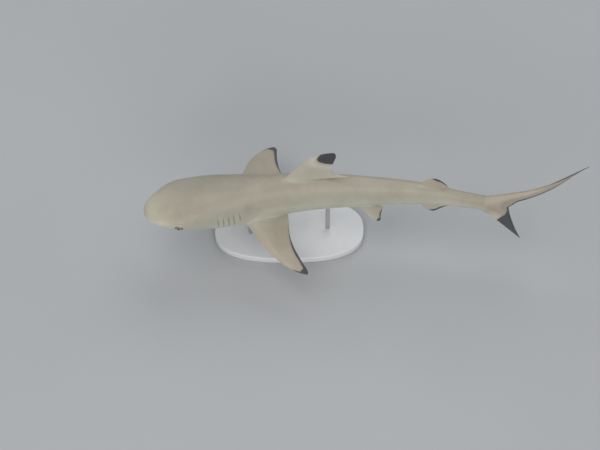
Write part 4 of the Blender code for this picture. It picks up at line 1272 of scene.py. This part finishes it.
# ================================================================ eyes
def eye_material():
    m = Nodes("shark_eye")
    x, y, r = m.attr("ex"), m.attr("ey"), m.attr("er")
    ang = m.math("ARCTAN2", y, x)
    around = m.new("ShaderNodeCombineXYZ")
    m.put(around.inputs[0], m.math("MULTIPLY", m.math("COSINE", ang), 9.0))
    m.put(around.inputs[1], m.math("MULTIPLY", m.math("SINE", ang), 9.0))
    m.put(around.inputs[2], m.math("MULTIPLY", r, 0.35))
    fibres = m.noise(1.0, 4.0, 0.65, where=around.outputs[0])
    flecks = m.noise(2600.0, 3.0, 0.6)
    iris = m.mix(m.step(fibres, 0.30, 0.72), (0.095, 0.080, 0.046), (0.290, 0.250, 0.158))
    iris = m.mix(m.step(flecks, 0.42, 0.70, 0.0, 0.45), iris, (0.140, 0.124, 0.070))
    iris = m.mix(m.step(r, 2.6, 1.0, 0.0, 0.55), iris, (0.335, 0.290, 0.180))       # brighter by the pupil
    iris = m.mix(m.step(r, 4.2, 5.0), iris, (0.165, 0.140, 0.090))                   # darker rim
    white = m.mix(m.step(m.noise(700.0, 3.0), 0.4, 0.7), (0.105, 0.100, 0.090), (0.170, 0.162, 0.148))
    ball = m.mix(m.step(r, 4.7, 5.2), iris, white)
    # upright slit pupil, pointed at both ends
    half = m.math("MULTIPLY", m.math("SUBTRACT", 1.0, m.math("POWER", m.math("MINIMUM", m.math(
        "ABSOLUTE", m.math("DIVIDE", y, 3.45)), 1.0), 1.7)), 1.10)
    slit = m.math("SUBTRACT", m.math("ABSOLUTE", x), half)
    ball = m.mix(m.step(slit, 0.26, -0.02, 0.0, 0.75), ball, (0.020, 0.016, 0.010))
    ball = m.mix(m.step(slit, 0.06, -0.06), ball, (0.0025, 0.0025, 0.003))
    m.put(m.bsdf.inputs["Base Color"], ball)
    m.bsdf.inputs["Roughness"].default_value = 0.30
    m.bsdf.inputs["Specular IOR Level"].default_value = 0.5
    m.bsdf.inputs["Coat Weight"].default_value = 1.0
    m.bsdf.inputs["Coat Roughness"].default_value = 0.03
    m.bsdf.inputs["Coat IOR"].default_value = 1.38
    m.put(m.bsdf.inputs["Normal"], m.bump(m.math("MULTIPLY", fibres, m.step(r, 4.8, 4.3)), 0.00012, 0.5))
    m.bsdf.inputs["Coat Normal"].default_value = (0, 0, 0)
    return m.mat


def eyeball(name, side, mat):
    """Fine eyeball on the solid's own measures, with a low rise of the cornea inside the lids."""
    p, along, up, n = FRAMES["eye", side]
    ang = np.linspace(0, 2 * math.pi, 72, endpoint=False)
    depth = np.concatenate([np.linspace(0, 1.25, 30)[1:], np.linspace(1.25, math.pi, 18)[1:-1]])
    co, vals, faces, uvs = [], [], [], []
    for b in depth:
        x, y = EYE_LONG * math.sin(b) * np.cos(ang), EYE_HIGH * math.sin(b) * np.sin(ang)
        z = np.full(72, EYE_DEEP * math.cos(b))
        z = z - 0.00005
        co.append(p + along * x[:, None] + up * y[:, None] + n * (z - 0.72 * EYE_DEEP)[:, None])
        flat = np.where(b < math.pi / 2, 1.0, 3.0)
        vals.append(np.stack([x * 1000, y * 1000, np.hypot(x / 1.10, y) * 1000 * flat], -1))
    co = np.concatenate(co + [[p + n * (0.28 * EYE_DEEP - 0.00005)], [p - n * (1.72 * EYE_DEEP)]])
    vals = np.concatenate(vals + [[[0, 0, 0]], [[0, 0, 9]]])
    k = len(depth)
    a = np.arange(72)
    nxt = (a + 1) % 72
    for r in range(k - 1):
        faces += list(zip(r * 72 + a, r * 72 + nxt, (r + 1) * 72 + nxt, (r + 1) * 72 + a))
    faces += list(zip(nxt, a, np.full(72, k * 72))) + list(zip((k - 1) * 72 + a, (k - 1) * 72 + nxt, np.full(72, k * 72 + 1)))
    me = bpy.data.meshes.new(name)
    me.from_pydata(co.tolist(), [], [tuple(int(v) for v in f) for f in faces])
    for c, key in enumerate(("ex", "ey", "er")):
        me.attributes.new(key, "FLOAT", "POINT").data.foreach_set("value", vals[:, c].astype(np.float32))
    finish_mesh(me)
    ob = bpy.data.objects.new(name, me)
    scene.collection.objects.link(ob)
    me.materials.append(mat)
    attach(ob, "root")
    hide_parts(name.replace("eyeball", "eye"))
    return ob


def finish_mesh(me):
    bm = bmesh.new()
    bm.from_mesh(me)
    bmesh.ops.recalc_face_normals(bm, faces=bm.faces[:])
    if bm.calc_volume(signed=True) < 0:
        bmesh.ops.reverse_faces(bm, faces=bm.faces[:])
    bm.to_mesh(me)
    bm.free()
    me.shade_smooth()


eye_look = eye_material()
eyeball("eyeball_left", -1, eye_look)
eyeball("eyeball_right", 1, eye_look)


# ================================================================ stand
def paint_material():
    m = Nodes("stand_paint")
    peel = m.noise(900.0, 2.0, 0.5)
    wear = m.noise(30.0, 3.0, 0.6)
    m.put(m.bsdf.inputs["Base Color"], m.mix(m.step(wear, 0.3, 0.7), (0.560, 0.565, 0.570), (0.590, 0.594, 0.598)))
    m.put(m.bsdf.inputs["Roughness"], m.math("ADD", 0.36, m.math("MULTIPLY", wear, 0.12)))
    m.put(m.bsdf.inputs["Normal"], m.bump(peel, 0.00005, 0.5))
    return m.mat


def steel_material():
    m = Nodes("stand_steel")
    brushed = m.noise(1.0, 4.0, 0.7, where=m.at((5200.0, 5200.0, 60.0)))
    m.put(m.bsdf.inputs["Base Color"], m.mix(brushed, (0.470, 0.475, 0.480), (0.600, 0.604, 0.610)))
    m.bsdf.inputs["Metallic"].default_value = 1.0
    m.put(m.bsdf.inputs["Roughness"], m.math("ADD", 0.24, m.math("MULTIPLY", brushed, 0.16)))
    m.put(m.bsdf.inputs["Normal"], m.bump(brushed, 0.00003, 0.5))
    return m.mat


def turned(name, centre, profile, segments, mat, node):
    """Solid of revolution about an upright line, from (radius, height) pairs."""
    bm = bmesh.new()
    rings = []
    for r, z in profile:
        rings.append([bm.verts.new((centre[0] + r * math.cos(2 * math.pi * k / segments),
                                    centre[1] + r * math.sin(2 * math.pi * k / segments), z)) for k in range(segments)])
    for lo_ring, hi_ring in zip(rings[:-1], rings[1:]):
        for k in range(segments):
            q = (k + 1) % segments
            bm.faces.new((lo_ring[k], lo_ring[q], hi_ring[q], hi_ring[k]))
    bm.faces.new(rings[0][::-1])
    bm.faces.new(rings[-1])
    me = bpy.data.meshes.new(name)
    bm.to_mesh(me)
    bm.free()
    finish_mesh(me)
    me.set_sharp_from_angle(angle=math.radians(50))
    me.materials.append(mat)
    ob = bpy.data.objects.new(name, me)
    scene.collection.objects.link(ob)
    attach(ob, "root")
    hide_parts(node)
    return ob


def base_plate(mat):
    """Oval plate of the solid's own outline, with a finer rounded edge and a small chamfer below."""
    bm = bmesh.new()
    count, rings = 160, []
    levels = [(0.0006, 0.0), (0.0, 0.0006), (0.0, BASE_THICK - BASE_BEVEL)]
    levels += [(BASE_BEVEL * (1 - math.cos(t)), BASE_THICK - BASE_BEVEL * (1 - math.sin(t)))
               for t in np.linspace(0, math.pi / 2, 9)[1:]]
    for inset, z in levels:
        ring = []
        for k in range(count):
            a = 2 * math.pi * k / count
            c, s = math.cos(a), math.sin(a)
            r = (abs(c) ** 2.6 + abs(s) ** 2.6) ** (-1 / 2.6)
            ring.append(bm.verts.new((c * r * (BASE_LENGTH / 2 - inset), s * r * (BASE_WIDTH / 2 - inset), z)))
        rings.append(ring)
    for lo_ring, hi_ring in zip(rings[:-1], rings[1:]):
        for k in range(count):
            q = (k + 1) % count
            bm.faces.new((lo_ring[k], lo_ring[q], hi_ring[q], hi_ring[k]))
    bm.faces.new(rings[0][::-1])
    bm.faces.new(rings[-1])
    me = bpy.data.meshes.new("base_plate")
    bm.to_mesh(me)
    bm.free()
    finish_mesh(me)
    me.set_sharp_from_angle(angle=math.radians(40))
    me.materials.append(mat)
    ob = bpy.data.objects.new("base_plate", me)
    scene.collection.objects.link(ob)
    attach(ob, "root")
    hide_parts("stand_base")


base_plate(paint_material())
steel = steel_material()
for word, s in (("front", ROD_AT[0]), ("rear", ROD_AT[1])):
    foot = place(np.array([s, 0.0, 0.0]))
    top = float(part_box("stand_rod_" + word)[1][2]) + 0.0012
    low = BASE_THICK - 0.0004
    turned("rod_" + word, foot, [(ROD_RADIUS, low), (ROD_RADIUS, top)], 48, steel, "stand_rod_" + word)
